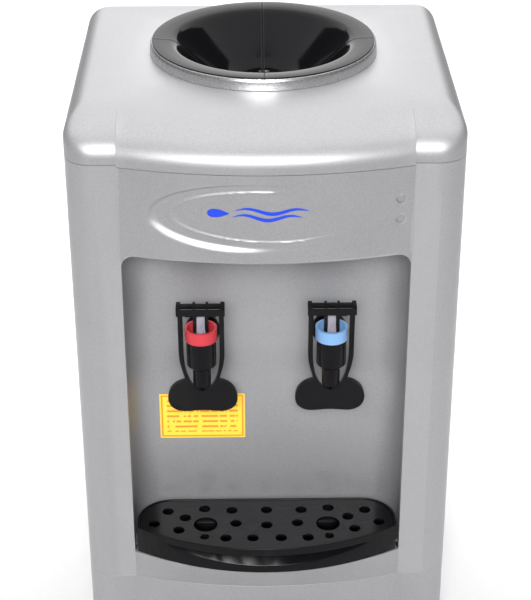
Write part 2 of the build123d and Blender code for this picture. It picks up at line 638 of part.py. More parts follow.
def cold_tank():
    """Open-topped cold tank with a spigot to the cold tap and one down to the hot tank."""
    wall = 2.0
    front = COLD_Y - COLD_HALF_Y
    tank = rounded_block(COLD_HALF_X, COLD_HALF_Y, COLD_Z0, COLD_Z1, COLD_Y, 9)
    tank -= rounded_block(COLD_HALF_X - wall, COLD_HALF_Y - wall, COLD_Z0 + wall, COLD_Z1 + 1, COLD_Y, 7)
    x = COLD_HALF_X - 9 - 0.5
    tank += rod_y(SPIGOT_R, front - 26, front + 1, x, TAP_TAIL_Z)
    tank -= rod_y(SPIGOT_BORE, front - 27, front + 3, x, TAP_TAIL_Z)
    tank += rod(SPIGOT_R, COLD_Z0 - 23, COLD_Z0 + 1, HOT_X, FEED_Y)
    return tank - rod(SPIGOT_BORE, COLD_Z0 - 24, COLD_Z0 + 3, HOT_X, FEED_Y)


def cold_tank_lid():
    """Lid between the tank and the funnel's throat."""
    lid = rounded_block(COLD_HALF_X + 2, COLD_HALF_Y + 2, COLD_Z1 + 0.1, COLD_Z1 + 3.0, COLD_Y, 11)
    lid += tube(THROAT_R + 7.5, THROAT_R + 3.5, COLD_Z1 + 2.0, COLD_Z1 + 14, 0, RING_Y)
    return lid - rod(THROAT_R - 2, COLD_Z1 - 1, COLD_Z1 + 4, 0, RING_Y)


def cold_tank_jacket():
    """Foam under the cold tank and round its front and sides, open at the back for the cooler."""
    gap = 0.3
    hx, hy = COLD_HALF_X + gap, COLD_HALF_Y + gap
    low = SHELF_Z + 1.3
    jacket = box(-hx - FOAM, hx + FOAM, COLD_Y - hy - FOAM, COLD_Y + hy, low, COLD_Z1 - 4)
    jacket -= box(-hx, hx, COLD_Y - hy, COLD_Y + hy + 20, COLD_Z0 - gap, COLD_Z1)
    jacket -= rod_y(SPIGOT_R + 0.3, COLD_Y - hy - FOAM - 1, COLD_Y, TAP_X, TAP_TAIL_Z)
    return jacket - rod(SPIGOT_R + 0.3, low - 1, COLD_Z0, HOT_X, FEED_Y)


COOLER_Y = COLD_Y + COLD_HALF_Y


def cold_block():
    """Aluminium plate on the tank's back that carries the cold to the water."""
    return box(-30, 30, COOLER_Y + 0.1, COOLER_Y + 8, FAN_Z - 30, FAN_Z + 30)


def peltier_module():
    """Thermoelectric cooler between the plate and the heat sink."""
    return box(-20, 20, COOLER_Y + 8.1, COOLER_Y + 12, FAN_Z - 20, FAN_Z + 20)


SINK_Y = COOLER_Y + 12.1


def heat_sink():
    """Finned aluminium heat sink."""
    sink = box(-45, 45, SINK_Y, SINK_Y + 5, FAN_Z - 45, FAN_Z + 45)
    for index in range(15):
        x = -43.4 + index * 6.2
        sink += box(x - 0.7, x + 0.7, SINK_Y + 4, SINK_Y + 27, FAN_Z - 45, FAN_Z + 45)
    return sink


FAN_Y0 = SINK_Y + 27.4
FAN_Y1 = FAN_Y0 + 25
FAN_HUB_R = 15.0


def fan_frame():
    """Square fan housing with a round duct, four struts and the rotor's pin."""
    frame = box(-46, 46, FAN_Y0, FAN_Y1, FAN_Z - 46, FAN_Z + 46)
    frame -= rod_y(FAN_R, FAN_Y0 - 1, FAN_Y1 + 1, 0, FAN_Z)
    frame += box(-45, 45, FAN_Y1 - 3, FAN_Y1, FAN_Z - 2.5, FAN_Z + 2.5)
    frame += box(-2.5, 2.5, FAN_Y1 - 3, FAN_Y1, FAN_Z - 45, FAN_Z + 45)
    frame += rod_y(FAN_HUB_R, FAN_Y1 - 3, FAN_Y1, 0, FAN_Z)
    return frame + rod_y(1.5, FAN_Y0 + 4, FAN_Y1 - 2, 0, FAN_Z)


def fan_rotor():
    """Hub and seven pitched blades that turn on the housing's pin."""
    middle = (FAN_Y0 + FAN_Y1) / 2 - 1
    rotor = rod_y(FAN_HUB_R, FAN_Y0 + 2, FAN_Y1 - 4)
    for index in range(7):
        blade = Pos(26.5, middle, 0) * Rot(38, 0, 0) * Box(27, 1.6, 18)
        rotor += Rot(0, index * 360 / 7, 0) * blade
    rotor -= rod_y(1.55, FAN_Y0, FAN_Y1)
    return Pos(0, 0, FAN_Z) * rotor


def hot_tank():
    """Closed stainless cylinder with an inlet and an outlet on top and a drain below."""
    tank = rod(HOT_R, HOT_Z0, HOT_Z1, HOT_X, HOT_Y)
    tank = fillet(tank.edges().filter_by(GeomType.CIRCLE), 4)
    tank -= rod(HOT_R - 1.2, HOT_Z0 + 4, HOT_Z1 - 4, HOT_X, HOT_Y)
    tops = ((HOT_X, FEED_Y), (-TAP_X, HOT_OUT_Y))
    for x, y in tops:
        tank += rod(SPIGOT_R, HOT_Z1 - 1, HOT_Z1 + 12, x, y)
        tank -= rod(SPIGOT_BORE, HOT_Z1 - 5, HOT_Z1 + 13, x, y)
    tank += rod(SPIGOT_R, HOT_Z0 - 13, HOT_Z0 + 1, HOT_X, HOT_Y)
    return tank - rod(SPIGOT_BORE, HOT_Z0 - 14, HOT_Z0 + 5, HOT_X, HOT_Y)


def heater_band():
    """Band heater clamped round the lower part of the hot tank, with a gap and two clamp lugs."""
    z0, z1, r = HOT_Z0 + 20, HOT_Z0 + 60, HOT_R + 0.1
    band = tube(r + 3, r, z0, z1, HOT_X, HOT_Y)
    band -= box(HOT_X - 2, HOT_X + 2, HOT_Y + r - 8, HOT_Y + r + 8, z0 - 1, z1 + 1)
    for sx in (-1, 1):
        x = HOT_X + sx * 3.2
        band += box(x - 1.2, x + 1.2, HOT_Y + r + 0.5, HOT_Y + r + 12, z0 + 2, z1 - 2)
    return band


def hot_tank_jacket():
    """Glass-wool sleeve round the upper part of the hot tank."""
    return tube(HOT_R + 12, HOT_R + 0.2, HOT_Z0 + 64, HOT_Z1 - 6, HOT_X, HOT_Y)


def thermostats():
    """Two disc thermostats on the hot tank's top."""
    made = []
    for x in (HOT_X - 14, HOT_X + 14):
        y = HOT_Y + 2
        made.append(rod(8, HOT_Z1 + 0.1, HOT_Z1 + 5, x, y) + rod(5, HOT_Z1 + 4.5, HOT_Z1 + 9, x, y))
    return made


def straight_hose(start, end):
    """Short straight hose between two spigots in line."""
    run = Line(start, end)
    section = Plane(origin=run @ 0, z_dir=run % 0)
    return extrude(section * (Circle(HOSE_OUT) - Circle(HOSE_IN)), run.length)


def bent_hose(points, radius):
    """Hose along straight runs joined by tangent arcs."""
    path = FilletPolyline(*points, radius=radius)
    section = Plane(origin=path @ 0, z_dir=path % 0)
    return sweep(section * (Circle(HOSE_OUT) - Circle(HOSE_IN)), path=path)


def hose_cold():
    """From the cold tank's spigot straight forward to the cold tap."""
    return straight_hose((TAP_X, BARB_END - 9, TAP_TAIL_Z), (TAP_X, COLD_Y - COLD_HALF_Y - 15.5, TAP_TAIL_Z))


def hose_hot():
    """From the hot tap back and down to the hot tank's outlet."""
    x = -TAP_X
    points = [(x, BARB_END - 8, TAP_TAIL_Z), (x, HOT_OUT_Y, TAP_TAIL_Z), (x, HOT_OUT_Y, HOT_Z1 + 3)]
    return bent_hose(points, 12)


def hose_feed():
    """From the cold tank's lower spigot down to the hot tank's inlet."""
    return straight_hose((HOT_X, FEED_Y, HOT_Z1 + 2), (HOT_X, FEED_Y, SHELF_Z - 0.6))


def hose_drain():
    """From the hot tank's drain down and back to the drain fitting."""
    points = [
        (HOT_X, HOT_Y, HOT_Z0 - 1.5), (HOT_X, HOT_Y, DRAIN_Z), (HOT_X, REAR_PANEL_Y - 6, DRAIN_Z),
    ]
    return bent_hose(points, 13)


def drain_nipple():
    """Drain fitting through the back panel: a barb inside, a flange and a threaded nose outside."""
    y1 = REAR_PANEL_Y + SHEET
    fitting = rod_y(SPIGOT_R, REAR_PANEL_Y - 16, REAR_PANEL_Y, DRAIN_X, DRAIN_Z)
    fitting += rod_y(7.0, REAR_PANEL_Y - 3, y1 + 5.5, DRAIN_X, DRAIN_Z)
    fitting += rod_y(11.0, y1 + 0.1, y1 + 1.6, DRAIN_X, DRAIN_Z)
    fitting += rod_y(10.0, REAR_PANEL_Y - 4, REAR_PANEL_Y - 0.1, DRAIN_X, DRAIN_Z)
    return fitting - rod_y(SPIGOT_BORE, REAR_PANEL_Y - 17, y1 + 7, DRAIN_X, DRAIN_Z)


CAP_KNURLS = 18


def drain_cap():
    """Ribbed screw cap on the drain fitting's nose."""
    y0, y1 = REAR_PANEL_Y + SHEET + 2.0, BACK + REAR_PROJECTION
    cap = rod_y(10.0, y0, y1, 0, 0) - rod_y(7.05, y0 - 1, REAR_PANEL_Y + SHEET + 5.9, 0, 0)
    for index in range(CAP_KNURLS):
        groove = Pos(10.4, (y0 + y1) / 2, 0) * Box(1.4, y1 - y0 + 2, 1.4)
        cap -= Rot(0, index * 360 / CAP_KNURLS, 0) * groove
    return Pos(DRAIN_X, 0, DRAIN_Z) * cap


# ---------------------------------------------------------------- sheet supports and electrics
def mid_shelf():
    """Steel shelf that carries the cold tank, with turned-down edges and two hose holes."""
    w, y0, y1 = HALF - SHEET - 0.3, FRONT + 60, BACK - 22
    shelf = box(-w, w, y0, y1, SHELF_Z, SHELF_Z + SHEET)
    for sx in (-1, 1):
        edge = sx * (w - SHEET / 2)
        shelf += box(edge - SHEET / 2, edge + SHEET / 2, y0, y1, SHELF_Z - 12, SHELF_Z + SHEET)
    shelf -= rod(10, SHELF_Z - 1, SHELF_Z + 3, -TAP_X, HOT_OUT_Y)
    return shelf - rod(10, SHELF_Z - 1, SHELF_Z + 3, HOT_X, FEED_Y)


def tank_stand():
    """Bent steel bridge on the base floor that the hot tank stands on."""
    x0, x1, y0, y1 = HOT_X - 50, HOT_X + 50, HOT_Y - 36, HOT_Y + 36
    top, floor = HOT_Z0 - 0.1, BASE_FLOOR_Z + 0.1
    stand = box(x0, x1, y0, y1, top - 1.5, top)
    for x, flange_x in ((x0, x0 - 12), (x1 - 1.5, x1)):
        stand += box(x, x + 1.5, y0, y1, floor, top)
        stand += box(flange_x, flange_x + 12, y0, y1, floor, floor + 1.5)
    return stand - rod(10, top - 3, top + 1, HOT_X, HOT_Y)


def power_board():
    """Circuit board on the left with a transformer, two capacitors and a relay."""
    x = -112.0
    y0, z0 = FRONT + 110, 300.0
    board = box(x, x + 1.6, y0, y0 + 110, z0, z0 + 90)
    board += box(x - 22, x + 0.5, y0 + 12, y0 + 46, z0 + 12, z0 + 46)
    board += box(x - 14, x + 0.5, y0 + 62, y0 + 84, z0 + 14, z0 + 30)
    for z in (z0 + 48, z0 + 70):
        board += Pos(x - 10, y0 + 72, z) * Rot(0, 90, 0) * Cylinder(7, 21)
    return board


SWITCH_AXIS_Y = BACK - 4.5    # the rockers turn about X here
ROCKER_TILT = 8.0


def switch_housing(x):
    """Snap-in switch body with a bezel outside the back panel and a cavity for the rocker."""
    y0, y1 = REAR_PANEL_Y, REAR_PANEL_Y + SHEET
    housing = box(x - 6.5, x + 6.5, y0 - 16, y1 + 1, SWITCH_Z - 9.5, SWITCH_Z + 9.5)
    housing += box(x - 8, x + 8, y1 + 0.1, y1 + 2.4, SWITCH_Z - 11.5, SWITCH_Z + 11.5)
    for z in (SWITCH_Z - 5, SWITCH_Z + 5):
        housing += box(x - 3, x + 3, y0 - 24, y0 - 15.5, z - 0.4, z + 0.4)
    housing -= box(x - 5.3, x + 5.3, SWITCH_AXIS_Y - 6, y1 + 4, SWITCH_Z - 8.3, SWITCH_Z + 8.3)
    return housing - Pos(x, SWITCH_AXIS_Y, SWITCH_Z) * Rot(0, 90, 0) * Cylinder(1.05, 11.8)


def switch_rocker(x):
    """Rocker at its off end: two flats at a shallow V, turning inside its own circle."""
    rocker = Rot(0, 90, 0) * Cylinder(7.9, 10)
    rocker -= Pos(0, -12, 0) * Box(12, 20, 20)
    for sign in (-1, 1):
        rocker -= Rot(sign * ROCKER_TILT, 0, 0) * Pos(0, 14.5, sign * 10) * Box(12, 20, 20)
    rocker += Rot(0, 90, 0) * Cylinder(1.0, 11.4)
    return Pos(x, SWITCH_AXIS_Y, SWITCH_Z) * Rot(-ROCKER_TILT, 0, 0) * rocker


# ---------------------------------------------------------------- every node
def build():
    """Makes every node and writes its file."""
    save("top_cover", top_cover())
    save("bottle_ring", bottle_ring())
    save("bottle_funnel", bottle_funnel())
    save("bottle_probe", bottle_probe())
    save("front_frame", front_frame())
    save("fascia_panel", fascia_panel())
    save("niche_liner", niche_liner())
    save("niche_label", niche_label())
    save("lamp_lenses", *[lamp_lens(z) for z in LAMP_Z])
    save("lamp_board", lamp_board())
    left = side_panel()
    save("side_panel_left", left)
    save("side_panel_right", mirrored(left))
    save("rear_panel", rear_panel())
    save("rear_screws", *rear_screws())
    save("base_tray", base_tray())
    save("feet", *[foot(x, y) for x, y in FOOT_PLACES])
    save("drip_tray", drip_tray())
    save("drip_grate", drip_grate())
    for kind, x in (("hot", -TAP_X), ("cold", TAP_X)):
        save(f"tap_{kind}_body", tap_body(x))
        save(f"tap_{kind}_collar", tap_collar(x))
        save(f"tap_{kind}_stem", tap_stem(x))
        save(f"tap_{kind}_seal", tap_seal(x))
        save(f"tap_{kind}_spring", tap_spring(x))
        save(f"tap_{kind}_lever", tap_lever(x))
    save("tap_gaskets", *[tap_gasket(x) for x in (-TAP_X, TAP_X)])
    save("tap_nuts", *[tap_nut(x) for x in (-TAP_X, TAP_X)])
    save("cold_tank", cold_tank())
    save("cold_tank_lid", cold_tank_lid())
    save("cold_tank_jacket", cold_tank_jacket())
    save("cold_block", cold_block())
    save("peltier_module", peltier_module())
    save("heat_sink", heat_sink())
    save("fan_frame", fan_frame())
    save("fan_rotor", fan_rotor())
    save("hot_tank", hot_tank())
    save("hot_tank_jacket", hot_tank_jacket())
    save("heater_band", heater_band())
    save("thermostats", *thermostats())
    save("hose_cold", hose_cold())
    save("hose_hot", hose_hot())
    save("hose_feed", hose_feed())
    save("hose_drain", hose_drain())
    save("drain_nipple", drain_nipple())
    save("drain_cap", drain_cap())
    save("cord_gland", cord_gland())
    save("mid_shelf", mid_shelf())
    save("tank_stand", tank_stand())
    save("power_board", power_board())
    for kind, x in SWITCH_X.items():
        save(f"switch_{kind}_housing", switch_housing(x))
        save(f"switch_{kind}_rocker", switch_rocker(x))


build()
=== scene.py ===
import json
import logging
import math
from dataclasses import dataclass
from enum import Enum
from typing import Any, Callable, Iterable, Sequence

import bmesh
import bpy
from mathutils import Matrix, Vector


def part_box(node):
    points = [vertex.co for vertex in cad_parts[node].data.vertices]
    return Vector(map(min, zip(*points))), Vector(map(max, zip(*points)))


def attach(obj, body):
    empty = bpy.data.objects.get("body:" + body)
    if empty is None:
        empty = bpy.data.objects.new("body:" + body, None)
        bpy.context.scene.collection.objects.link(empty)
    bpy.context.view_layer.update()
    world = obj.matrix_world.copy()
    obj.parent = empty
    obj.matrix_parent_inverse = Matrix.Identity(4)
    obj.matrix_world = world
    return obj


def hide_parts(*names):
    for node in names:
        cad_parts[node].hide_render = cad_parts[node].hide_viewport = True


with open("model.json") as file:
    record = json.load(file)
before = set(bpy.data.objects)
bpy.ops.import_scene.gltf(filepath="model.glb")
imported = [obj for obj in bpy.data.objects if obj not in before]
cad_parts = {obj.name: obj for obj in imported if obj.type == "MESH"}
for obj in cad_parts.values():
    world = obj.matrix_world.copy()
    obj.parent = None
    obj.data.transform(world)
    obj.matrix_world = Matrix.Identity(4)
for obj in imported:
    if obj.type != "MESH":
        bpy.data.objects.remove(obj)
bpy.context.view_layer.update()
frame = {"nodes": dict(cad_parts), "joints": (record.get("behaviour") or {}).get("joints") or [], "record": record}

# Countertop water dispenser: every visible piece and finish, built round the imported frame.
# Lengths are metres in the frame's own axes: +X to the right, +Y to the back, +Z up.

MM = 0.001
LOG = logging.getLogger("dispenser")
Point = Sequence[float]


# ------------------------------------------------------------------ places read from the frame
@dataclass(frozen=True)
class Places:
    """Places that several assemblies share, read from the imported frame."""

    front: float
    top: float
    seam_low: float
    seam_high: float
    ring: Vector
    half_width: float
    back: float

    @staticmethod
    def read() -> "Places":
        """Reads the shared places from the CAD nodes' boxes and joints.

        Returns:
            The places, in metres.
        """
        cover_low, cover_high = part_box("top_cover")
        ring_low, ring_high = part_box("bottle_ring")
        joint = next(j for j in frame["joints"] if j["name"] == "tap_hot_push")
        return Places(
            front=joint["pos_m"][1] - 4.5 * MM,
            top=cover_high.z,
            seam_low=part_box("front_frame")[0].z,
            seam_high=cover_low.z,
            ring=Vector(((ring_low.x + ring_high.x) / 2, (ring_low.y + ring_high.y) / 2, ring_low.z)),
            half_width=cover_high.x,
            back=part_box("side_panel_left")[1].y,
        )


# ------------------------------------------------------------------ shader maths
class Value:
    """A shader value that writes a Math node for each operator used on it."""

    def __init__(self, paint: "Paint", socket: bpy.types.NodeSocket) -> None:
        """Wraps an output socket of the paint's node tree."""
        self.paint = paint
        self.socket = socket

    def _math(self, operation: str, *others: Any) -> "Value":
        """Adds one Math node that works on this value and the others."""
        inputs = {index: value for index, value in enumerate((self, *others))}
        return self.paint.node("ShaderNodeMath", {"operation": operation}, inputs)

    def _flipped(self, operation: str, other: float) -> "Value":
        """Adds a Math node with the plain number as its first operand."""
        return self.paint.node("ShaderNodeMath", {"operation": operation}, {0: other, 1: self})

    def __add__(self, other: Any) -> "Value":
        """Sum."""
        return self._math("ADD", other)

    def __radd__(self, other: float) -> "Value":
        """Sum with a number first."""
        return self._flipped("ADD", other)

    def __sub__(self, other: Any) -> "Value":
        """Difference."""
        return self._math("SUBTRACT", other)

    def __rsub__(self, other: float) -> "Value":
        """Difference from a number."""
        return self._flipped("SUBTRACT", other)

    def __mul__(self, other: Any) -> "Value":
        """Product."""
        return self._math("MULTIPLY", other)

    def __abs__(self) -> "Value":
        """Absolute value."""
        return self._math("ABSOLUTE")

    def above(self, edge: Any) -> "Value":
        """1 where this value is above the edge, else 0."""
        return self._math("GREATER_THAN", edge)

    def below(self, edge: Any) -> "Value":
        """1 where this value is below the edge, else 0."""
        return self._math("LESS_THAN", edge)

    def repeat(self, length: float) -> "Value":
        """The remainder after division by length."""
        return self._math("MODULO", length)

    def most(self, other: Any) -> "Value":
        """The larger of two values."""
        return self._math("MAXIMUM", other)

    def least(self, other: Any) -> "Value":
        """The smaller of two values."""
        return self._math("MINIMUM", other)

    def spread(self, low: float, high: float, start: float = 0.0, end: float = 1.0) -> "Value":
        """Maps low..high on to start..end, held at both ends."""
        inputs = {"Value": self, "From Min": low, "From Max": high, "To Min": start, "To Max": end}
        return self.paint.node("ShaderNodeMapRange", {"clamp": True}, inputs)


class Paint:
    """One procedural material round a Principled shader."""

    def __init__(self, name: str, **plain: Any) -> None:
        """Makes the material.

        Args:
            name: The material's name.
            plain: Shader sockets with one value all over, with _ for a space.
        """
        self.material = bpy.data.materials.new(name)
        self.material.use_nodes = True
        self.tree = self.material.node_tree
        self.shader = self.tree.nodes["Principled BSDF"]
        for key, value in plain.items():
            self.shader.inputs[key.replace("_", " ")].default_value = value
        self._object = self.node("ShaderNodeTexCoord", output="Object")

    def node(self, kind: str, settings: dict | None = None, inputs: dict | None = None,
             output: Any = 0) -> Value:
        """Adds any node.

        Args:
            kind: The node's type.
            settings: Attributes set before the sockets, and "stops" for a colour ramp.
            inputs: Values or links by socket name or number.
            output: The socket that is returned.

        Returns:
            The wrapped output.
        """
        made = self.tree.nodes.new(kind)
        for key, value in (settings or {}).items():
            if key == "stops":
                self._set_stops(made.color_ramp, value)
            else:
                setattr(made, key, value)
        for key, value in (inputs or {}).items():
            if isinstance(value, Value):
                self.tree.links.new(value.socket, made.inputs[key])
            else:
                made.inputs[key].default_value = value
        return Value(self, made.outputs[output])

    @staticmethod
    def _set_stops(ramp: bpy.types.ColorRamp, stops: Sequence[tuple[float, Sequence[float]]]) -> None:
        """Gives a colour ramp its stops."""
        while len(ramp.elements) < len(stops):
            ramp.elements.new(0.5)
        for element, (place, colour) in zip(ramp.elements, stops):
            element.position = place
            element.color = (*colour[:3], 1.0)

    def noise(self, scale: float, detail: float = 2.0, roughness: float = 0.5,
              stretch: Point = (1, 1, 1)) -> Value:
        """Noise on object coordinates, stretched per axis."""
        place = self.node("ShaderNodeMapping", {}, {"Vector": self._object, "Scale": tuple(stretch)})
        inputs = {"Vector": place, "Scale": scale, "Detail": detail, "Roughness": roughness}
        return self.node("ShaderNodeTexNoise", {}, inputs, "Fac")

    def cells(self, scale: float) -> Value:
        """Random value per small cell, for metal flake."""
        inputs = {"Vector": self._object, "Scale": scale}
        colour = self.node("ShaderNodeTexVoronoi", {"feature": "F1"}, inputs, "Color")
        return self.node("ShaderNodeSeparateColor", {}, {"Color": colour}, 0)

    def axis(self, name: str) -> Value:
        """One object coordinate, X, Y or Z."""
        return self.node("ShaderNodeSeparateXYZ", {}, {"Vector": self._object}, name)

    def edges(self) -> Value:
        """1 on sharp outer edges, 0 on flats: the mask of the painted edge highlights."""
        point = self.node("ShaderNodeNewGeometry", output="Pointiness")
        return point.spread(0.505, 0.56)

    def blend(self, factor: Any, first: Any, second: Any) -> Value:
        """Mixes two colours."""
        def full(colour: Any) -> Any:
            """Adds the alpha to a plain colour."""
            return colour if isinstance(colour, Value) else (*colour[:3], 1.0)
        settings = {"data_type": "RGBA", "clamp_factor": True}
        return self.node("ShaderNodeMix", settings, {0: factor, 6: full(first), 7: full(second)}, 2)

    def feed(self, socket: str, value: Value) -> "Paint":
        """Links a varying value to one of the shader's sockets."""
        self.tree.links.new(value.socket, self.shader.inputs[socket])
        return self

    def bump(self, height: Value, depth: float, strength: float = 0.5) -> "Paint":
        """Turns a height into the shader's normal.

        Args:
            height: The height, about 0 to 1.
            depth: Its depth in metres.
            strength: How much of it shows.
        """
        inputs = {"Strength": strength, "Distance": depth, "Height": height}
        return self.feed("Normal", self.node("ShaderNodeBump", {}, inputs, "Normal"))


# ------------------------------------------------------------------ finishes
def shade(colour: Point, factor: float) -> tuple[float, float, float]:
    """A colour made lighter or darker."""
    return tuple(min(1.0, c * factor) for c in colour[:3])


@dataclass(frozen=True)
class SatinSilver:
    """Silver paint with fine metal flake over smooth moulded plastic."""

    name: str = "satin_silver"
    colour: Point = (0.37, 0.368, 0.38)
    roughness: float = 0.45
    metallic: float = 0.5

    def build(self) -> bpy.types.Material:
        """Makes the material."""
        paint = Paint(self.name, Metallic=self.metallic, Coat_Roughness=0.3, Coat_Weight=0.15)
        flake = paint.cells(2600.0)
        cloud = paint.noise(26.0, 3.0)
        tone = paint.blend(flake, shade(self.colour, 0.84), shade(self.colour, 1.14))
        tone = paint.blend(cloud.spread(0.35, 0.65, 0.0, 0.12), tone, shade(self.colour, 1.25))
        # Sharp edges are painted lighter: a painted edge highlight.
        tone = paint.blend(paint.edges() * 0.35, tone, shade(self.colour, 1.5))
        paint.feed("Base Color", tone)
        rough = self.roughness - 0.05 + cloud * 0.06 + flake * 0.05
        paint.feed("Roughness", rough)
        return paint.bump(flake * 0.6 + paint.noise(900.0, 2.0) * 0.4, 0.00004, 0.25).material


@dataclass(frozen=True)
class PowderSteel:
    """Silver powder coat with a fine orange peel, on the sheet-steel sides and back."""

    name: str = "powder_steel"
    colour: Point = (0.38, 0.38, 0.392)

    def build(self) -> bpy.types.Material:
        """Makes the material."""
        paint = Paint(self.name, Metallic=0.45)
        peel = paint.noise(700.0, 2.0)
        cloud = paint.noise(9.0, 3.0)
        tone = paint.blend(cloud, shade(self.colour, 0.95), shade(self.colour, 1.05))
        # Sharp edges are painted lighter: a painted edge highlight.
        tone = paint.blend(paint.edges() * 0.4, tone, shade(self.colour, 1.4))
        paint.feed("Base Color", tone)
        paint.feed("Roughness", 0.42 + peel * 0.08)
        return paint.bump(peel, 0.00008, 0.35).material


@dataclass(frozen=True)
class BrightRing:
    """Bright satin plating on the bottle seat's collar."""

    name: str = "bright_ring"
    colour: Point = (0.52, 0.52, 0.53)

    def build(self) -> bpy.types.Material:
        """Makes the material."""
        paint = Paint(self.name, Metallic=0.85)
        grain = paint.noise(400.0, 2.0, 0.5, (1, 1, 8))
        paint.feed("Base Color", paint.blend(grain, shade(self.colour, 0.95), shade(self.colour, 1.08)))
        paint.feed("Roughness", 0.24 + grain * 0.08)
        return paint.bump(grain, 0.00003, 0.2).material


@dataclass(frozen=True)
class GlossBlack:
    """Black moulded plastic, polished, with faint handling marks."""

    name: str = "gloss_black"
    colour: Point = (0.0045, 0.004, 0.005)
    roughness: float = 0.14

    def build(self) -> bpy.types.Material:
        """Makes the material."""
        paint = Paint(self.name, Specular_IOR_Level=0.14)
        smear = paint.noise(38.0, 4.0, 0.6)
        fine = paint.noise(600.0, 2.0)
        # Sharp edges are painted lighter grey: a painted edge highlight.
        paint.feed("Base Color", paint.blend(paint.edges() * 0.3, self.colour, (0.02, 0.02, 0.021)))
        paint.feed("Roughness", smear.spread(0.35, 0.75, self.roughness - 0.03, self.roughness + 0.07))
        return paint.bump(fine * 0.4 + smear * 0.6, 0.00003, 0.2).material


@dataclass(frozen=True)
class SeamedBlack:
    """Polished black funnel with four fine moulding lines down its bowl."""

    axis: Point
    name: str = "gloss_black_funnel"
    colour: Point = (0.0035, 0.003, 0.004)

    def build(self) -> bpy.types.Material:
        """Makes the material round the funnel's axis."""
        paint = Paint(self.name, Specular_IOR_Level=0.14)
        x, y = paint.axis("X") - self.axis[0], paint.axis("Y") - self.axis[1]
        line = abs(x).least(abs(y)).spread(0.35 * MM, 0.75 * MM, 1.0, 0.0)
        bead = abs(x).least(abs(y)).spread(0.9 * MM, 1.6 * MM, 1.0, 0.0) - line
        smear = paint.noise(30.0, 4.0, 0.6)
        # The lighter bands beside each moulding line are a painted highlight on the bead's flanks.
        paint.feed("Base Color", paint.blend(bead * 0.5, self.colour, (0.03, 0.03, 0.032)))
        paint.feed("Roughness", smear.spread(0.35, 0.75, 0.07, 0.16) + line * 0.3)
        return paint.bump(bead + smear * 0.02, 0.0004, 0.8).material


@dataclass(frozen=True)
class Moulded:
    """Plain moulded plastic or rubber, with a fine grain and painted highlights on its sharp edges."""

    name: str
    colour: Point
    roughness: float = 0.4
    grain: float = 500.0
    depth: float = 0.00004
    edge_highlight: float = 0.25

    def build(self) -> bpy.types.Material:
        """Makes the material."""
        paint = Paint(self.name)
        fine = paint.noise(self.grain, 3.0)
        cloud = paint.noise(30.0, 3.0)
        tone = paint.blend(cloud, shade(self.colour, 0.92), shade(self.colour, 1.08))
        # Sharp edges are painted lighter: a painted edge highlight, not wear.
        tone = paint.blend(paint.edges() * self.edge_highlight, tone, tuple(c * 0.7 + 0.3 for c in self.colour))
        paint.feed("Base Color", tone)
        paint.feed("Roughness", self.roughness - 0.04 + fine * 0.08)
        return paint.bump(fine, self.depth, 0.4).material


@dataclass(frozen=True)
class Metal:
    """Bare metal with a directional grain."""

    name: str
    colour: Point
    roughness: float = 0.3
    stretch: Point = (1, 1, 30)

    def build(self) -> bpy.types.Material:
        """Makes the material."""
        paint = Paint(self.name, Metallic=1.0)
        grain = paint.noise(120.0, 4.0, 0.6, self.stretch)
        stain = paint.noise(14.0, 3.0)
        tone = paint.blend(grain, shade(self.colour, 0.85), shade(self.colour, 1.1))
        paint.feed("Base Color", paint.blend(stain * 0.3, tone, shade(self.colour, 0.8)))
        paint.feed("Roughness", self.roughness - 0.06 + grain * 0.16)
        return paint.bump(grain, 0.00005, 0.3).material


@dataclass(frozen=True)
class Sticker:
    """Yellow sticker with an orange frame and plain bars in place of its text, glowing faintly as painted light.
    """

    low: Point
    high: Point
    name: str = "sticker_yellow"

    def build(self) -> bpy.types.Material:
        """Makes the material from the sticker's two corners."""
        # The sticker glows faintly in its own colours: painted light, not a lamp.
        paint = Paint(self.name, Emission_Strength=0.15)
        x, z = paint.axis("X"), paint.axis("Z")
        middle = [(a + b) / 2 for a, b in zip(self.low, self.high)]
        half_x, half_z = (self.high[0] - self.low[0]) / 2, (self.high[2] - self.low[2]) / 2
        off_x, off_z = abs(x - middle[0]), abs(z - middle[2])
        frame_band = off_x.above(half_x - 2.6 * MM).most(off_z.above(half_z - 2.6 * MM))
        margin = off_x.above(half_x - 1.2 * MM).most(off_z.above(half_z - 1.2 * MM))
        row = (z - self.low[2]).repeat(5.2 * MM).below(2.0 * MM)
        broken = paint.noise(330.0, 1.0, 0.5, (1, 1, 0.2)).above(0.43)
        inside = off_x.below(half_x - 6 * MM) * off_z.below(half_z - 6 * MM)
        bars = row * broken * inside
        paper = paint.noise(500.0, 3.0)
        tone = paint.blend(paper, (0.93, 0.62, 0.045), (0.98, 0.70, 0.075))
        tone = paint.blend(frame_band * (1 - margin), tone, (0.85, 0.28, 0.02))
        tone = paint.blend(bars * 0.85, tone, (0.72, 0.20, 0.02))
        paint.feed("Base Color", tone)
        paint.feed("Emission Color", tone)
        paint.feed("Roughness", 0.36 + paper * 0.12)
        return paint.bump(paper, 0.00003, 0.3).material


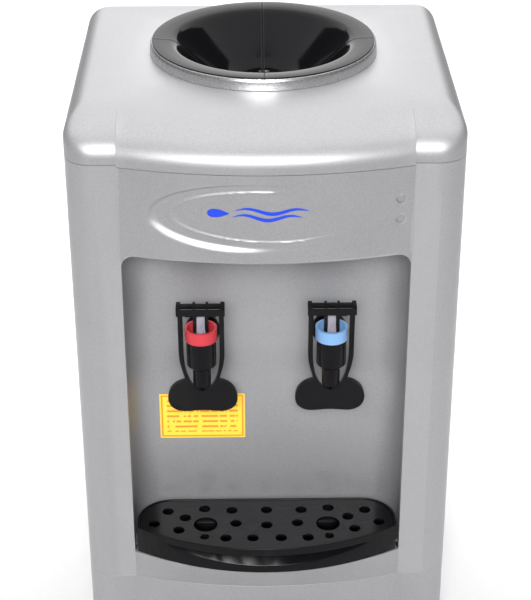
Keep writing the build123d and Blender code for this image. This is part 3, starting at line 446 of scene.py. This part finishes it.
class Finish(Enum):
    """Every finish that a piece can be given by name."""

    SILVER = SatinSilver()
    STEEL = PowderSteel()
    RING = BrightRing()
    BLACK = GlossBlack()
    CORAL = Moulded("collar_coral", (0.60, 0.040, 0.056), 0.45, edge_highlight=0.0)
    BLUE = Moulded("collar_blue", (0.21, 0.40, 0.70), 0.42, edge_highlight=0.0)
    LAMP = Moulded("lamp_grey", (0.22, 0.22, 0.23), 0.3)
    INK = Moulded("mark_blue", (0.010, 0.055, 0.62), 0.45, 700.0, 0.00002, 0.0)
    RUBBER = Moulded("rubber_black", (0.018, 0.018, 0.019), 0.72, 300.0, 0.00008)
    SILICONE = Moulded("silicone_clear", (0.74, 0.74, 0.70), 0.38)
    STEM = Moulded("stem_grey", (0.30, 0.28, 0.34), 0.40)
    POLYMER = Moulded("polymer_white", (0.78, 0.78, 0.75), 0.36)
    FOAM = Moulded("foam_white", (0.84, 0.84, 0.80), 0.85, 160.0, 0.0006)
    PROBE = Moulded("probe_clear", (0.60, 0.64, 0.67), 0.18)
    CERAMIC = Moulded("ceramic_white", (0.86, 0.86, 0.84), 0.55)
    BOARD = Moulded("board_green", (0.015, 0.13, 0.045), 0.30)
    WOOL = Moulded("wool_yellow", (0.72, 0.62, 0.30), 0.95, 220.0, 0.0012)
    SWITCH = Moulded("switch_black", (0.016, 0.016, 0.017), 0.34)
    ROCKER_RED = Moulded("rocker_red", (0.52, 0.012, 0.012), 0.2)
    ROCKER_GREEN = Moulded("rocker_green", (0.010, 0.26, 0.03), 0.2)
    STAINLESS = Metal("stainless", (0.62, 0.61, 0.59), 0.28)
    ZINC = Metal("zinc_steel", (0.56, 0.57, 0.60), 0.36, (6, 6, 6))
    ALUMINIUM = Metal("aluminium", (0.76, 0.76, 0.78), 0.34)


class Paintbox:
    """Makes each material once, when it is first asked for."""

    def __init__(self) -> None:
        """Starts with nothing made."""
        self._made: dict[str, bpy.types.Material] = {}

    def get(self, finish: Any) -> bpy.types.Material:
        """The material of a finish.

        Args:
            finish: A Finish, or a finish object that is sized for one piece.
        """
        source = finish.value if isinstance(finish, Finish) else finish
        if source.name not in self._made:
            self._made[source.name] = source.build()
        return self._made[source.name]


PAINTS = Paintbox()


# ------------------------------------------------------------------ modelling
class Bench:
    """Mesh modelling steps, each on one object at a time."""

    @staticmethod
    def clear() -> None:
        """Leaves edit mode and deselects every object."""
        if bpy.context.object and bpy.context.object.mode != "OBJECT":
            bpy.ops.object.mode_set(mode="OBJECT")
        bpy.ops.object.select_all(action="DESELECT")

    @staticmethod
    def pick(piece: bpy.types.Object) -> None:
        """Makes one object the only selected and active one."""
        Bench.clear()
        piece.select_set(True)
        bpy.context.view_layer.objects.active = piece

    @staticmethod
    def copy_node(node: str, name: str, join: bool = True) -> bpy.types.Object:
        """Copies a CAD node's mesh into a new piece and merges its loose triangles.

        Args:
            node: The CAD node.
            name: The new piece's name.
            join: Whether level triangles are joined into one face, for a piece without slots.

        Returns:
            The copy, with flat regions joined and curved ones smooth.
        """
        source = frame["nodes"][node]
        piece = bpy.data.objects.new(name, source.data.copy())
        bpy.context.scene.collection.objects.link(piece)
        piece.data.materials.clear()
        Bench.pick(piece)
        bpy.ops.object.mode_set(mode="EDIT")
        bpy.ops.mesh.select_all(action="SELECT")
        bpy.ops.mesh.remove_doubles(threshold=0.000004)
        if join:
            bpy.ops.mesh.dissolve_limited(angle_limit=math.radians(0.6))
        bpy.ops.object.mode_set(mode="OBJECT")
        bpy.ops.object.shade_smooth_by_angle(angle=math.radians(32))
        return piece

    @staticmethod
    def soften(piece: bpy.types.Object, width: float, segments: int = 3, angle: float = 40.0) -> None:
        """Rounds a piece's sharp edges.

        Args:
            piece: The piece.
            width: The rounding's width in metres.
            segments: Faces across the rounding.
            angle: Edges sharper than this many degrees are rounded.
        """
        Bench.pick(piece)
        bevel = piece.modifiers.new("rounding", "BEVEL")
        bevel.width = width
        bevel.segments = segments
        bevel.limit_method = "ANGLE"
        bevel.angle_limit = math.radians(angle)
        bevel.harden_normals = True
        bevel.miter_outer = "MITER_ARC"
        bevel.use_clamp_overlap = True
        bpy.ops.object.modifier_apply(modifier=bevel.name)

    @staticmethod
    def edit(piece: bpy.types.Object) -> bmesh.types.BMesh:
        """Opens a piece in edit mode with nothing selected, and hands back its mesh."""
        Bench.pick(piece)
        bpy.ops.object.mode_set(mode="EDIT")
        bpy.ops.mesh.select_all(action="DESELECT")
        return bmesh.from_edit_mesh(piece.data)

    @staticmethod
    def close(piece: bpy.types.Object, angle: float = 32.0) -> None:
        """Turns the normals outwards, leaves edit mode and smooths the piece.

        Args:
            piece: The piece in edit mode.
            angle: Edges sharper than this many degrees stay sharp.
        """
        bpy.ops.mesh.select_all(action="SELECT")
        bpy.ops.mesh.normals_make_consistent(inside=False)
        bpy.ops.object.mode_set(mode="OBJECT")
        bpy.ops.object.shade_smooth_by_angle(angle=math.radians(angle))

    @staticmethod
    def loft(name: str, rings: Sequence[Sequence[Point]], closed: bool = False) -> bpy.types.Object:
        """Draws a skin through closed rings of points, by extruding a circle ring by ring.

        Args:
            name: The piece's name.
            rings: Rings with the same number of points, in order.
            closed: Whether the last ring is bridged back to the first.

        Returns:
            The piece, in object mode with its normals outwards.
        """
        Bench.clear()
        count = len(rings[0])
        bpy.ops.mesh.primitive_circle_add(vertices=count, radius=1.0, fill_type="NOTHING")
        piece = bpy.context.object
        piece.name = name
        mesh = Bench.edit(piece)
        mesh.verts.ensure_lookup_table()
        for vertex, point in zip(mesh.verts, rings[0]):
            vertex.co = point
        places = {tuple(vertex.co): number for number, vertex in enumerate(mesh.verts)}
        bpy.ops.mesh.select_all(action="SELECT")
        for ring in rings[1:]:
            bpy.ops.mesh.extrude_region_move()
            mesh = bmesh.from_edit_mesh(piece.data)
            moved = {}
            for vertex in (v for v in mesh.verts if v.select):
                number = places[tuple(vertex.co)]
                vertex.co = ring[number]
                moved[tuple(vertex.co)] = number
            places = moved
        bmesh.update_edit_mesh(piece.data)
        if closed:
            bpy.ops.mesh.select_all(action="DESELECT")
            bpy.ops.mesh.select_non_manifold(extend=False)
            bpy.ops.mesh.bridge_edge_loops()
        Bench.close(piece)
        return piece

    @staticmethod
    def spun(name: str, profile: Sequence[Point], axis: Point, steps: int = 160) -> bpy.types.Object:
        """Turns a closed outline of (radius, height) round an upright axis.

        Args:
            name: The piece's name.
            profile: The outline, in metres.
            axis: The axis' place in plan.
            steps: Faces round the axis.

        Returns:
            The piece, in object mode with its normals outwards.
        """
        Bench.clear()
        bpy.ops.mesh.primitive_circle_add(vertices=len(profile), radius=1.0, fill_type="NOTHING")
        piece = bpy.context.object
        piece.name = name
        mesh = Bench.edit(piece)
        for vertex, (radius, height) in zip(mesh.verts, profile):
            vertex.co = (axis[0] + radius, axis[1], height)
        bmesh.update_edit_mesh(piece.data)
        bpy.ops.mesh.select_all(action="SELECT")
        centre = (axis[0], axis[1], 0.0)
        bpy.ops.mesh.spin(steps=steps, angle=math.tau, center=centre, axis=(0, 0, 1), use_auto_merge=True)
        bpy.ops.mesh.select_all(action="SELECT")
        bpy.ops.mesh.remove_doubles(threshold=0.000002)
        Bench.close(piece, 40.0)
        return piece

    @staticmethod
    def sheet(name: str, across: int, up: int, place: Callable[[float, float], Point]) -> bpy.types.Object:
        """Bends a fine grid into any sheet.

        Args:
            name: The piece's name.
            across: Faces from side to side.
            up: Faces from bottom to top.
            place: Gives the point for u and v, each 0 to 1.

        Returns:
            The sheet, in object mode.
        """
        Bench.clear()
        bpy.ops.mesh.primitive_grid_add(x_subdivisions=across, y_subdivisions=up, size=2.0)
        piece = bpy.context.object
        piece.name = name
        mesh = Bench.edit(piece)
        for vertex in mesh.verts:
            vertex.co = place((vertex.co.x + 1) / 2, (vertex.co.y + 1) / 2)
        bmesh.update_edit_mesh(piece.data)
        bpy.ops.object.mode_set(mode="OBJECT")
        bpy.ops.object.shade_smooth_by_angle(angle=math.radians(32))
        return piece

    @staticmethod
    def thicken(piece: bpy.types.Object, thickness: float, even: bool = True) -> None:
        """Gives a skin its wall.

        Args:
            piece: The skin.
            thickness: The wall in metres.
            even: Whether the wall keeps its thickness round corners.
        """
        Bench.pick(piece)
        wall = piece.modifiers.new("wall", "SOLIDIFY")
        wall.thickness = thickness
        wall.offset = -1.0
        wall.use_even_offset = even
        bpy.ops.object.modifier_apply(modifier=wall.name)
        bpy.ops.object.shade_smooth_by_angle(angle=math.radians(32))

    @staticmethod
    def level(piece: bpy.types.Object) -> None:
        """Weights a piece's normals by area, so that broad faces shade flat beside narrow ones."""
        Bench.pick(piece)
        weigh = piece.modifiers.new("level", "WEIGHTED_NORMAL")
        weigh.keep_sharp = True
        weigh.weight = 100
        bpy.ops.object.modifier_apply(modifier=weigh.name)

    @staticmethod
    def drill(piece: bpy.types.Object, place: Point, radius: float, depth: float) -> None:
        """Drills a round hole along Y through a piece.

        Args:
            piece: The piece.
            place: A point on the hole's axis.
            radius: The hole's radius.
            depth: The drill's whole length.
        """
        Bench.clear()
        turn = (math.pi / 2, 0.0, 0.0)
        bpy.ops.mesh.primitive_cylinder_add(
            vertices=64, radius=radius, depth=depth, location=place, rotation=turn
        )
        drill = bpy.context.object
        Bench.pick(piece)
        hole = piece.modifiers.new("hole", "BOOLEAN")
        hole.operation = "DIFFERENCE"
        hole.solver = "EXACT"
        hole.object = drill
        bpy.ops.object.modifier_apply(modifier=hole.name)
        bpy.data.objects.remove(drill)

    @staticmethod
    def finish(piece: bpy.types.Object, finish: Any, body: str, slot: str, nodes: Iterable[str] = ()) -> None:
        """Dresses a piece, rides it on its body and hides the CAD nodes it stands for.

        Args:
            piece: The piece.
            finish: Its finish.
            body: The CAD body it moves with.
            slot: The record's material slot; not used.
            nodes: The CAD nodes it stands for.
        """
        piece.data.materials.clear()
        piece.data.materials.append(PAINTS.get(finish))
        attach(piece, body)
        if nodes:
            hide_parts(*nodes)
        LOG.info("%s: %d faces on %s", piece.name, len(piece.data.polygons), body)


def record_slot(node: str) -> str:
    """The record's material slot of a CAD node."""
    rows = frame["record"]["subparts"]
    return next(row["material_slot"] for row in rows if row["node"] == node)


def body_of(node: str) -> str:
    """The CAD body that holds a node."""
    bodies = frame["record"]["behaviour"]["bodies"]
    return next(body for body, nodes in bodies.items() if node in nodes)


# ------------------------------------------------------------------ cabinet
SLOT_FINISH = {
    "cabinet_silver": Finish.SILVER, "side_steel": Finish.STEEL, "ring_silver": Finish.RING,
    "gloss_black": Finish.BLACK, "collar_coral": Finish.CORAL, "collar_blue": Finish.BLUE,
    "lamp_grey": Finish.LAMP, "label_yellow": Finish.POLYMER, "rubber_black": Finish.RUBBER,
    "silicone": Finish.SILICONE, "polymer_white": Finish.POLYMER, "foam_white": Finish.FOAM,
    "probe_clear": Finish.PROBE, "stainless": Finish.STAINLESS, "zinc_steel": Finish.ZINC,
    "aluminium": Finish.ALUMINIUM, "ceramic_white": Finish.CERAMIC, "board_green": Finish.BOARD,
    "wool": Finish.WOOL, "switch_black": Finish.SWITCH, "rocker_red": Finish.ROCKER_RED,
    "rocker_green": Finish.ROCKER_GREEN, "mark_blue": Finish.INK,
}


def softened(node: str, width: float = 0.4, segments: int = 3, angle: float = 40.0,
             finish: Finish | None = None) -> bpy.types.Object:
    """Shows a CAD node as a rounded copy in its slot's finish.

    Args:
        node: The CAD node.
        width: The rounding's width in millimetres.
        segments: Faces across the rounding.
        angle: Edges sharper than this many degrees are rounded.
        finish: A finish of its own, in place of its slot's.

    Returns:
        The finished piece.
    """
    slot = record_slot(node)
    piece = Bench.copy_node(node, f"{node}_shell")
    Bench.soften(piece, width * MM, segments, angle)
    Bench.finish(piece, finish or SLOT_FINISH[slot], body_of(node), slot, [node])
    return piece


def smoothstep(value: float) -> float:
    """Eases 0..1 with level ends, held outside it."""
    held = min(1.0, max(0.0, value))
    return held * held * (3 - 2 * held)


def plain_copy(node: str) -> bpy.types.Object:
    """Shows a slotted sheet-metal node as a merged copy with level faces and smooth bends.

    Args:
        node: The CAD node.

    Returns:
        The finished piece.
    """
    slot = record_slot(node)
    piece = Bench.copy_node(node, f"{node}_shell", join=False)
    Bench.level(piece)
    Bench.finish(piece, SLOT_FINISH[slot], body_of(node), slot, [node])
    return piece


@dataclass
class Cabinet:
    """Top cover, fascia, columns, side panels, base and feet."""

    places: Places
    crease: float = 113.5 * MM
    bow: float = 17.4 * MM
    step: float = 3.8 * MM
    skin: float = 3.0 * MM
    front_corner: float = 23.0 * MM
    back_corner: float = 20.0 * MM
    front_round: float = 50.0 * MM
    middle_round: float = 58.0 * MM
    front_rise: float = 27.0 * MM
    side_round: float = 17.0 * MM
    inner_corner: float = 14.0 * MM
    inner_back: float = 3.0 * MM
    crease_gap: float = 0.35 * MM
    middle_steps: int = 60
    hole: float = 86.0 * MM
    niche_top: float = 393.0 * MM
    niche_corner: float = 12.0 * MM
    lamp_x: float = 103.0 * MM
    lamp_z: Point = (440.4 * MM, 423.5 * MM)
    lamp_radius: float = 3.2 * MM

    def bow_radius(self) -> float:
        """Radius of the bowed middle in plan."""
        return (self.crease ** 2 + self.bow ** 2) / (2 * self.bow)

    def bow_y(self, x: float) -> float:
        """Y of the bowed middle's face at x."""
        radius = self.bow_radius()
        centre = self.places.front - self.step - self.bow + radius
        return centre - math.sqrt(radius ** 2 - x ** 2)

    def cover_rail(self) -> list[tuple[Vector, Vector, float]]:
        """The cover's outline with the ends of its rounding.

        Returns:
            For each place round the outline: the outer point, the inner point where the
            rounding ends on the flat top, and the rounding's rise.
        """
        rail: list[tuple[Vector, Vector, float]] = []
        front, back, half = self.places.front, self.places.back, self.places.half_width
        rise, low_rise = self.front_rise, self.side_round
        for number in range(self.middle_steps + 1):
            x = self.crease * (2 * number / self.middle_steps - 1)
            share = 1 - (x / self.crease) ** 2
            depth = self.front_round - (self.front_round - self.middle_round + self.step + self.bow) * share
            rail.append((Vector((x, self.bow_y(x))), Vector((x, front + depth)), rise))
        corner_x = half - self.front_corner
        crease_x = self.crease + self.crease_gap
        for number in range(9):
            x = crease_x + (corner_x - self.crease - self.crease_gap) * number / 9
            x_in = x * 0.55 + 0.45 * self.crease
            rail.append((Vector((x, front)), Vector((x_in, front + self.front_round)), rise))
        tight = self.inner_corner
        inner = Vector((half - self.side_round - tight, front + self.front_round + tight))
        start = Vector((corner_x, front + self.front_corner))
        for number in range(17):
            turn = math.pi / 2 * number / 16
            way = Vector((math.sin(turn), -math.cos(turn)))
            share = smoothstep(number / 16)
            height = rise + (low_rise - rise) * share
            rail.append((start + way * self.front_corner, inner + way * tight, height))
        end = back - self.back_corner
        for number in range(1, 24):
            y = start.y + (end - start.y) * number / 24
            y_in = inner.y + (back - self.side_round - self.inner_back - inner.y) * number / 24
            rail.append((Vector((half, y)), Vector((half - self.side_round, y_in)), low_rise))
        outer = Vector((half - self.back_corner, end))
        inset = self.side_round + self.inner_back
        inner = Vector((half - inset, back - inset))
        for number in range(13):
            turn = math.pi / 2 * number / 12
            way = Vector((math.cos(turn), math.sin(turn)))
            rail.append((outer + way * self.back_corner, inner + way * self.inner_back, low_rise))
        for number in range(1, 20):
            x = outer.x * (1 - number / 20)
            rail.append((Vector((x, back)), Vector((x, back - self.side_round)), low_rise))
        half_rail = reversed(rail[self.middle_steps + 1:])
        flip = [(Vector((-a.x, a.y)), Vector((-b.x, b.y)), c) for a, b, c in half_rail]
        middle = [(Vector((0, back)), Vector((0, back - self.side_round)), low_rise)]
        return rail + middle + flip

    def top_cover(self) -> bpy.types.Object:
        """Lid with broad front rounding, a bowed middle and the hole for the bottle seat."""
        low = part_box("top_cover")[0].z
        rail, top, steps = self.cover_rail(), self.places.top, 14
        middle = Vector((0.0, (self.places.front + self.places.back) / 2))
        rings = []
        for number in range(5):
            turn = math.pi / 2 * number / 4
            tuck, climb = 0.8 * MM * (1 - math.sin(turn)), 0.8 * MM * (1 - math.cos(turn))
            rings.append([(*(a + (middle - a).normalized() * tuck), low + climb) for a, _, _ in rail])
        for number in range(steps + 1):
            turn = math.pi / 2 * number / steps
            lean, climb = 1 - math.cos(turn), math.sin(turn)
            rings.append([(*a.lerp(b, lean), top - rise * (1 - climb)) for a, b, rise in rail])
        seat = self.places.ring.xy
        for share in (0.04, 0.5, 1.0):
            ring = []
            for _, inner, _ in rail:
                edge = seat + (inner - seat).normalized() * self.hole
                ring.append((*inner.lerp(edge, share), top))
            rings.append(ring)
        piece = Bench.loft("top_cover_shell", rings)
        Bench.thicken(piece, self.skin, even=False)
        Bench.level(piece)
        Bench.finish(piece, Finish.SILVER, body_of("top_cover"), "cabinet_silver", ["top_cover"])
        return piece

    def relief(self, x: float, z: float) -> float:
        """Depth of the fascia's swept oval recess at a point, with its thin raised line.

        Args:
            x: Place across.
            z: Place up.

        Returns:
            How far the face lies behind the plain bow.
        """
        base = self.places.seam_low
        outer = math.hypot((x + 15 * MM) / (78 * MM), (z - base - 352.5 * MM) / (29 * MM))
        inner = math.hypot((x + 3 * MM) / (81.8 * MM), (z - base - 354.5 * MM) / (26 * MM))
        gap = max(1e-6, (1 - outer) + (inner - 1))
        bank = smoothstep((1 - outer) / gap) if outer < 1 else 0.0
        if inner < 1:
            bank = 1.0
        fade = 1 - smoothstep((x + 40 * MM) / (62 * MM))
        line = math.hypot((x - 2 * MM) / (75.5 * MM), (z - base - 354 * MM) / (21 * MM))
        ridge = math.exp(-((line - 1) * 24) ** 2) * (1 - smoothstep((x - 20 * MM) / (46 * MM)))
        upper_right = smoothstep((x - 2 * MM) / (10 * MM)) * smoothstep((z - base - 350 * MM) / (6 * MM))
        return 2.6 * MM * bank * fade - 0.6 * MM * ridge * (1 - upper_right)

    def fascia(self) -> bpy.types.Object:
        """Bowed panel over the niche with its relief, lamp holes and rounded lower corners."""
        half = self.crease - 0.2 * MM
        top = self.places.seam_high - 0.2 * MM
        arc_x = self.crease - self.niche_corner

        def place(u: float, v: float) -> Point:
            """Point on the face."""
            x = half * (2 * u - 1)
            over = max(0.0, abs(x) - arc_x)
            low = self.niche_top - self.niche_corner + math.sqrt(max(0.0, self.niche_corner ** 2 - over ** 2))
            z = low + (top - low) * v
            y = self.bow_y(x) + self.relief(x, z)
            for lamp in self.lamp_z:
                away = math.hypot(x - self.lamp_x, z - lamp)
                y += 0.5 * MM * (1 - smoothstep((away - self.lamp_radius) / (2.2 * MM)))
            return x, y, z

        piece = Bench.sheet("fascia_panel_shell", 300, 96, place)
        Bench.thicken(piece, self.skin)
        for lamp in self.lamp_z:
            middle = (self.lamp_x, self.bow_y(self.lamp_x), lamp)
            Bench.drill(piece, middle, self.lamp_radius + 0.15 * MM, 24 * MM)
        Bench.soften(piece, 0.35 * MM, 2, 60)
        Bench.finish(piece, Finish.SILVER, body_of("fascia_panel"), "cabinet_silver", ["fascia_panel"])
        return piece

    def mark_patch(self, name: str, across: int,
                   outline: Callable[[float], tuple[float, float, float]]) -> None:
        """Prints one blue shape on the fascia.

        Args:
            name: The piece's name.
            across: Faces from its left end to its right end.
            outline: Gives x, the lower z and the upper z for a share 0 to 1 of its length.
        """
        def place(u: float, v: float) -> Point:
            """Point just in front of the fascia's face."""
            x, low, high = outline(u)
            z = low + (high - low) * v
            return x, self.bow_y(x) + self.relief(x, z) - 0.12 * MM, z

        piece = Bench.sheet(name, across, 6, place)
        Bench.thicken(piece, 0.1 * MM)
        Bench.finish(piece, Finish.INK, body_of("fascia_panel"), "mark_blue")

    def mark(self) -> None:
        """Plain printed drop and two waves, in place of any name."""
        middle = self.places.seam_low + 356.5 * MM
        height = 7.5 * MM

        def drop(u: float) -> tuple[float, float, float]:
            """Drop on its side: a round left end that draws out to a point."""
            reach = height * math.sqrt(max(0.0, u)) * (1 - u) * 1.25
            return (-45 + 17 * u) * MM, middle - reach, middle + reach

        def wave(start: float, end: float, lift: float) -> Callable[[float], tuple[float, float, float]]:
            """A swelling wave between two places."""
            def outline(u: float) -> tuple[float, float, float]:
                """Middle line and half thickness along the wave."""
                line = middle + lift * MM + 1.9 * MM * math.sin(u * math.tau * 1.5)
                half = 1.5 * MM * math.sin(math.pi * min(1.0, max(0.0, u))) ** 0.7 + 0.02 * MM
                return (start + (end - start) * u) * MM, line - half, line + half
            return outline

        self.mark_patch("mark_drop", 60, drop)
        self.mark_patch("mark_wave_upper", 120, wave(-24, 33, 2.6))
        self.mark_patch("mark_wave_lower", 120, wave(-26, 28, -2.8))

    def build(self) -> None:
        """Builds the cabinet's outside."""
        self.top_cover()
        self.fascia()
        self.mark()
        softened("front_frame", 0.7)
        for node in ("side_panel_left", "side_panel_right"):
            plain_copy(node)
        softened("base_tray", 0.8)
        softened("feet", 0.4)
        softened("lamp_lenses", 0.6)


# ------------------------------------------------------------------ bottle seat
@dataclass
class BottleSeat:
    """Silver collar, black funnel and the feed spike in its throat."""

    places: Places
    radius: float = 94.5 * MM
    height: float = 9.6 * MM
    throat: float = 31.0 * MM

    def collar(self) -> bpy.types.Object:
        """Bright collar that stands on the cover."""
        foot, r = self.places.ring.z, self.radius
        top = self.places.top + self.height
        profile = [(r - 5 * MM, foot), (r - 0.4 * MM, foot), (r, foot + 0.5 * MM)]
        for number in range(1, 7):
            share = number / 7
            profile.append((r - 1.0 * MM * share ** 2, foot + (top - foot) * share))
        for number in range(7):
            turn = math.pi / 2 * number / 6
            profile.append((r - 2.0 * MM + 0.8 * MM * math.cos(turn), top - 0.8 * MM * (1 - math.sin(turn))))
        profile.append((r - 5 * MM, top))
        piece = Bench.spun("bottle_ring_shell", profile, self.places.ring, 220)
        Bench.finish(piece, Finish.RING, body_of("bottle_ring"), "ring_silver", ["bottle_ring"])
        return piece

    def funnel_outline(self) -> list[tuple[float, float]]:
        """Closed outline of the funnel's wall."""
        rim, top = self.radius - 2.0 * MM, self.places.top + 10.6 * MM
        neck, wall = 85.0 * MM, 2.5 * MM
        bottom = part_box("bottle_funnel")[0].z
        collar = self.places.top + self.height + 0.3 * MM
        points = [(rim, collar), (rim, top - 0.5 * MM)]
        for number in range(1, 5):
            turn = math.pi / 2 * number / 4
            points.append((rim - 0.6 * MM * (1 - math.cos(turn)), top - 0.5 * MM * (1 - math.sin(turn))))
        points += [(84 * MM, top - 0.55 * MM), (78.5 * MM, top - 1.0 * MM), (76.5 * MM, top - 1.35 * MM),
                   (75.0 * MM, top - 1.95 * MM), (73.4 * MM, top - 2.8 * MM), (71.8 * MM, top - 3.9 * MM),
                   (68.5 * MM, top - 7.0 * MM), (54 * MM, top - 20.6 * MM), (42 * MM, top - 32.0 * MM),
                   (39 * MM, top - 35.0 * MM), (35.2 * MM, top - 37.9 * MM), (32.5 * MM, top - 40.0 * MM),
                   (31.3 * MM, top - 42.0 * MM), (31 * MM, top - 44.0 * MM),
                   (31 * MM, bottom + wall + 1.5 * MM), (29.5 * MM, bottom + wall)]
        points += [(9 * MM, bottom + wall), (9 * MM, bottom), (self.throat + wall, bottom),
                   (self.throat + wall, top - 45 * MM), (self.throat + 10.5 * MM, top - 37 * MM),
                   (71 * MM, top - 9.2 * MM), (75 * MM, top - 5 * MM), (neck - wall, top - 3.6 * MM),
                   (neck - wall, self.places.top - 8 * MM), (neck, self.places.top - 8 * MM), (neck, collar)]
        return points

    def funnel(self) -> bpy.types.Object:
        """Polished funnel that takes the bottle's shoulder and neck."""
        piece = Bench.spun("bottle_funnel_shell", self.funnel_outline(), self.places.ring, 220)
        finish = SeamedBlack(tuple(self.places.ring))
        Bench.finish(piece, finish, body_of("bottle_funnel"), "gloss_black", ["bottle_funnel"])
        return piece

    def build(self) -> None:
        """Builds the bottle seat."""
        self.collar()
        self.funnel()
        softened("bottle_probe", 0.25, 2)


# ------------------------------------------------------------------ niche and drip tray
@dataclass
class Niche:
    """The recess with the taps, its sticker and the drip tray."""

    places: Places

    def label(self) -> bpy.types.Object:
        """Thin sticker on the niche's back wall."""
        low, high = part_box("niche_label")
        plain = Bench.copy_node("niche_label", "niche_label_shell")
        Bench.soften(plain, 0.05 * MM, 1)
        sticker = Sticker(tuple(low), tuple(high))
        Bench.finish(plain, sticker, body_of("niche_label"), "label_yellow", ["niche_label"])
        return plain

    def build(self) -> None:
        """Builds the niche, the tray and the grate."""
        softened("niche_liner", 0.5)
        self.label()
        softened("drip_tray", 0.8)
        softened("drip_grate", 0.5)


@dataclass
class Tap:
    """One tap with its coloured collar and push lever."""

    side: str

    def build(self) -> None:
        """Builds the tap's outside pieces."""
        for part, width in (("body", 0.5), ("collar", 0.4), ("lever", 0.6)):
            softened(f"tap_{self.side}_{part}", width)
        softened(f"tap_{self.side}_stem", 0.2, finish=Finish.STEM)


@dataclass
class Back:
    """Rear panel with its screws, switches, gland and drain."""

    def build(self) -> None:
        """Builds the pieces seen from behind."""
        plain_copy("rear_panel")
        softened("rear_screws", 0.3, 2)
        softened("cord_gland", 0.4)
        softened("drain_nipple", 0.25, 2)
        softened("drain_cap", 0.4)
        for side in ("hot", "cold"):
            softened(f"switch_{side}_housing", 0.3)
            softened(f"switch_{side}_rocker", 0.3)


# ------------------------------------------------------------------ studio
@dataclass
class Studio:
    """Pale floor, soft lights and the camera."""

    places: Places
    lens: float = 99.69
    eye: Point = (-13.9, -1153.1, 905.75)
    pitch: float = 28.80
    turn: float = -0.66
    roll: float = -0.167
    floor_size: float = 40.0

    def camera(self) -> None:
        """Stands the camera in front of the dispenser and makes it the scene's."""
        data = bpy.data.cameras.new("camera")
        data.lens = self.lens
        data.sensor_width = 36.0
        data.clip_end = 100.0
        camera = bpy.data.objects.new("camera", data)
        bpy.context.scene.collection.objects.link(camera)
        x, y, z = (value * MM for value in self.eye)
        place = Vector((x, self.places.front + y, self.places.seam_low + z))
        turn = Matrix.Rotation(math.radians(self.turn), 4, "Z")
        tilt = Matrix.Rotation(math.radians(90 - self.pitch), 4, "X")
        roll = Matrix.Rotation(math.radians(self.roll), 4, "Z")
        camera.matrix_world = Matrix.Translation(place) @ turn @ tilt @ roll
        bpy.context.scene.camera = camera

    def floor(self) -> None:
        """Lays a plain pale floor under the feet."""
        Bench.clear()
        bpy.ops.mesh.primitive_plane_add(size=self.floor_size)
        floor = bpy.context.object
        floor.name = "studio_floor"
        paint = Paint("floor_white", Specular_IOR_Level=0.2)
        cloud = paint.noise(0.8, 2.0)
        paint.feed("Base Color", paint.blend(cloud, (0.93, 0.93, 0.93), (0.95, 0.95, 0.95)))
        paint.feed("Roughness", 0.6 + cloud * 0.1)
        floor.data.materials.append(paint.material)

    def light(self, name: str, place: Point, target: Point, size: Point, power: float,
              spread: float = 180.0) -> None:
        """Hangs one soft rectangular light.

        Args:
            name: The light's name.
            place: Where it hangs.
            target: Where it points.
            size: Its width and height.
            power: Its power in watts.
            spread: How wide its beam is, in degrees.
        """
        data = bpy.data.lights.new(name, "AREA")
        data.shape = "RECTANGLE"
        data.size, data.size_y = size
        data.energy = power
        data.spread = math.radians(spread)
        lamp = bpy.data.objects.new(name, data)
        bpy.context.scene.collection.objects.link(lamp)
        lamp.location = place
        aim = Vector(target) - Vector(place)
        lamp.rotation_euler = aim.to_track_quat("-Z", "Y").to_euler()

    def lights(self) -> None:
        """Hangs the top, back and front lights and sets the room's own glow."""
        middle = (0.0, 0.0, 0.35)
        self.light("top_light", (0.0, 1.35, 2.6), (0.0, 1.3, 0.0), (4.2, 4.0), 94.0)
        self.light("back_light", (0.0, 2.7, 1.2), middle, (2.0, 1.6), 19.0)
        self.light("front_light", (-0.1, -2.0, 1.72), (0.0, 0.0, 0.60), (1.7, 1.2), 9.5, 33.0)
        world = bpy.data.worlds.new("room")
        world.use_nodes = True
        glow = world.node_tree.nodes["Background"]
        glow.inputs["Color"].default_value = (1.0, 1.0, 1.0, 1.0)
        glow.inputs["Strength"].default_value = 0.08
        bpy.context.scene.world = world
        bpy.context.scene.view_settings.view_transform = "Standard"

    def build(self) -> None:
        """Sets the whole studio up."""
        self.camera()
        self.floor()
        self.lights()


def dress_nodes() -> None:
    """Gives every CAD node its slot's finish; those that a piece replaces are hidden at the end."""
    for name, node in frame["nodes"].items():
        node.data.materials.clear()
        node.data.materials.append(PAINTS.get(SLOT_FINISH[record_slot(name)]))


def main() -> None:
    """Builds the dispenser, assembly by assembly."""
    logging.basicConfig(level=logging.INFO)
    places = Places.read()
    dress_nodes()
    Cabinet(places).build()
    BottleSeat(places).build()
    Niche(places).build()
    Tap("hot").build()
    Tap("cold").build()
    Back().build()
    Studio(places).build()


if __name__ == "__main__":
    main()
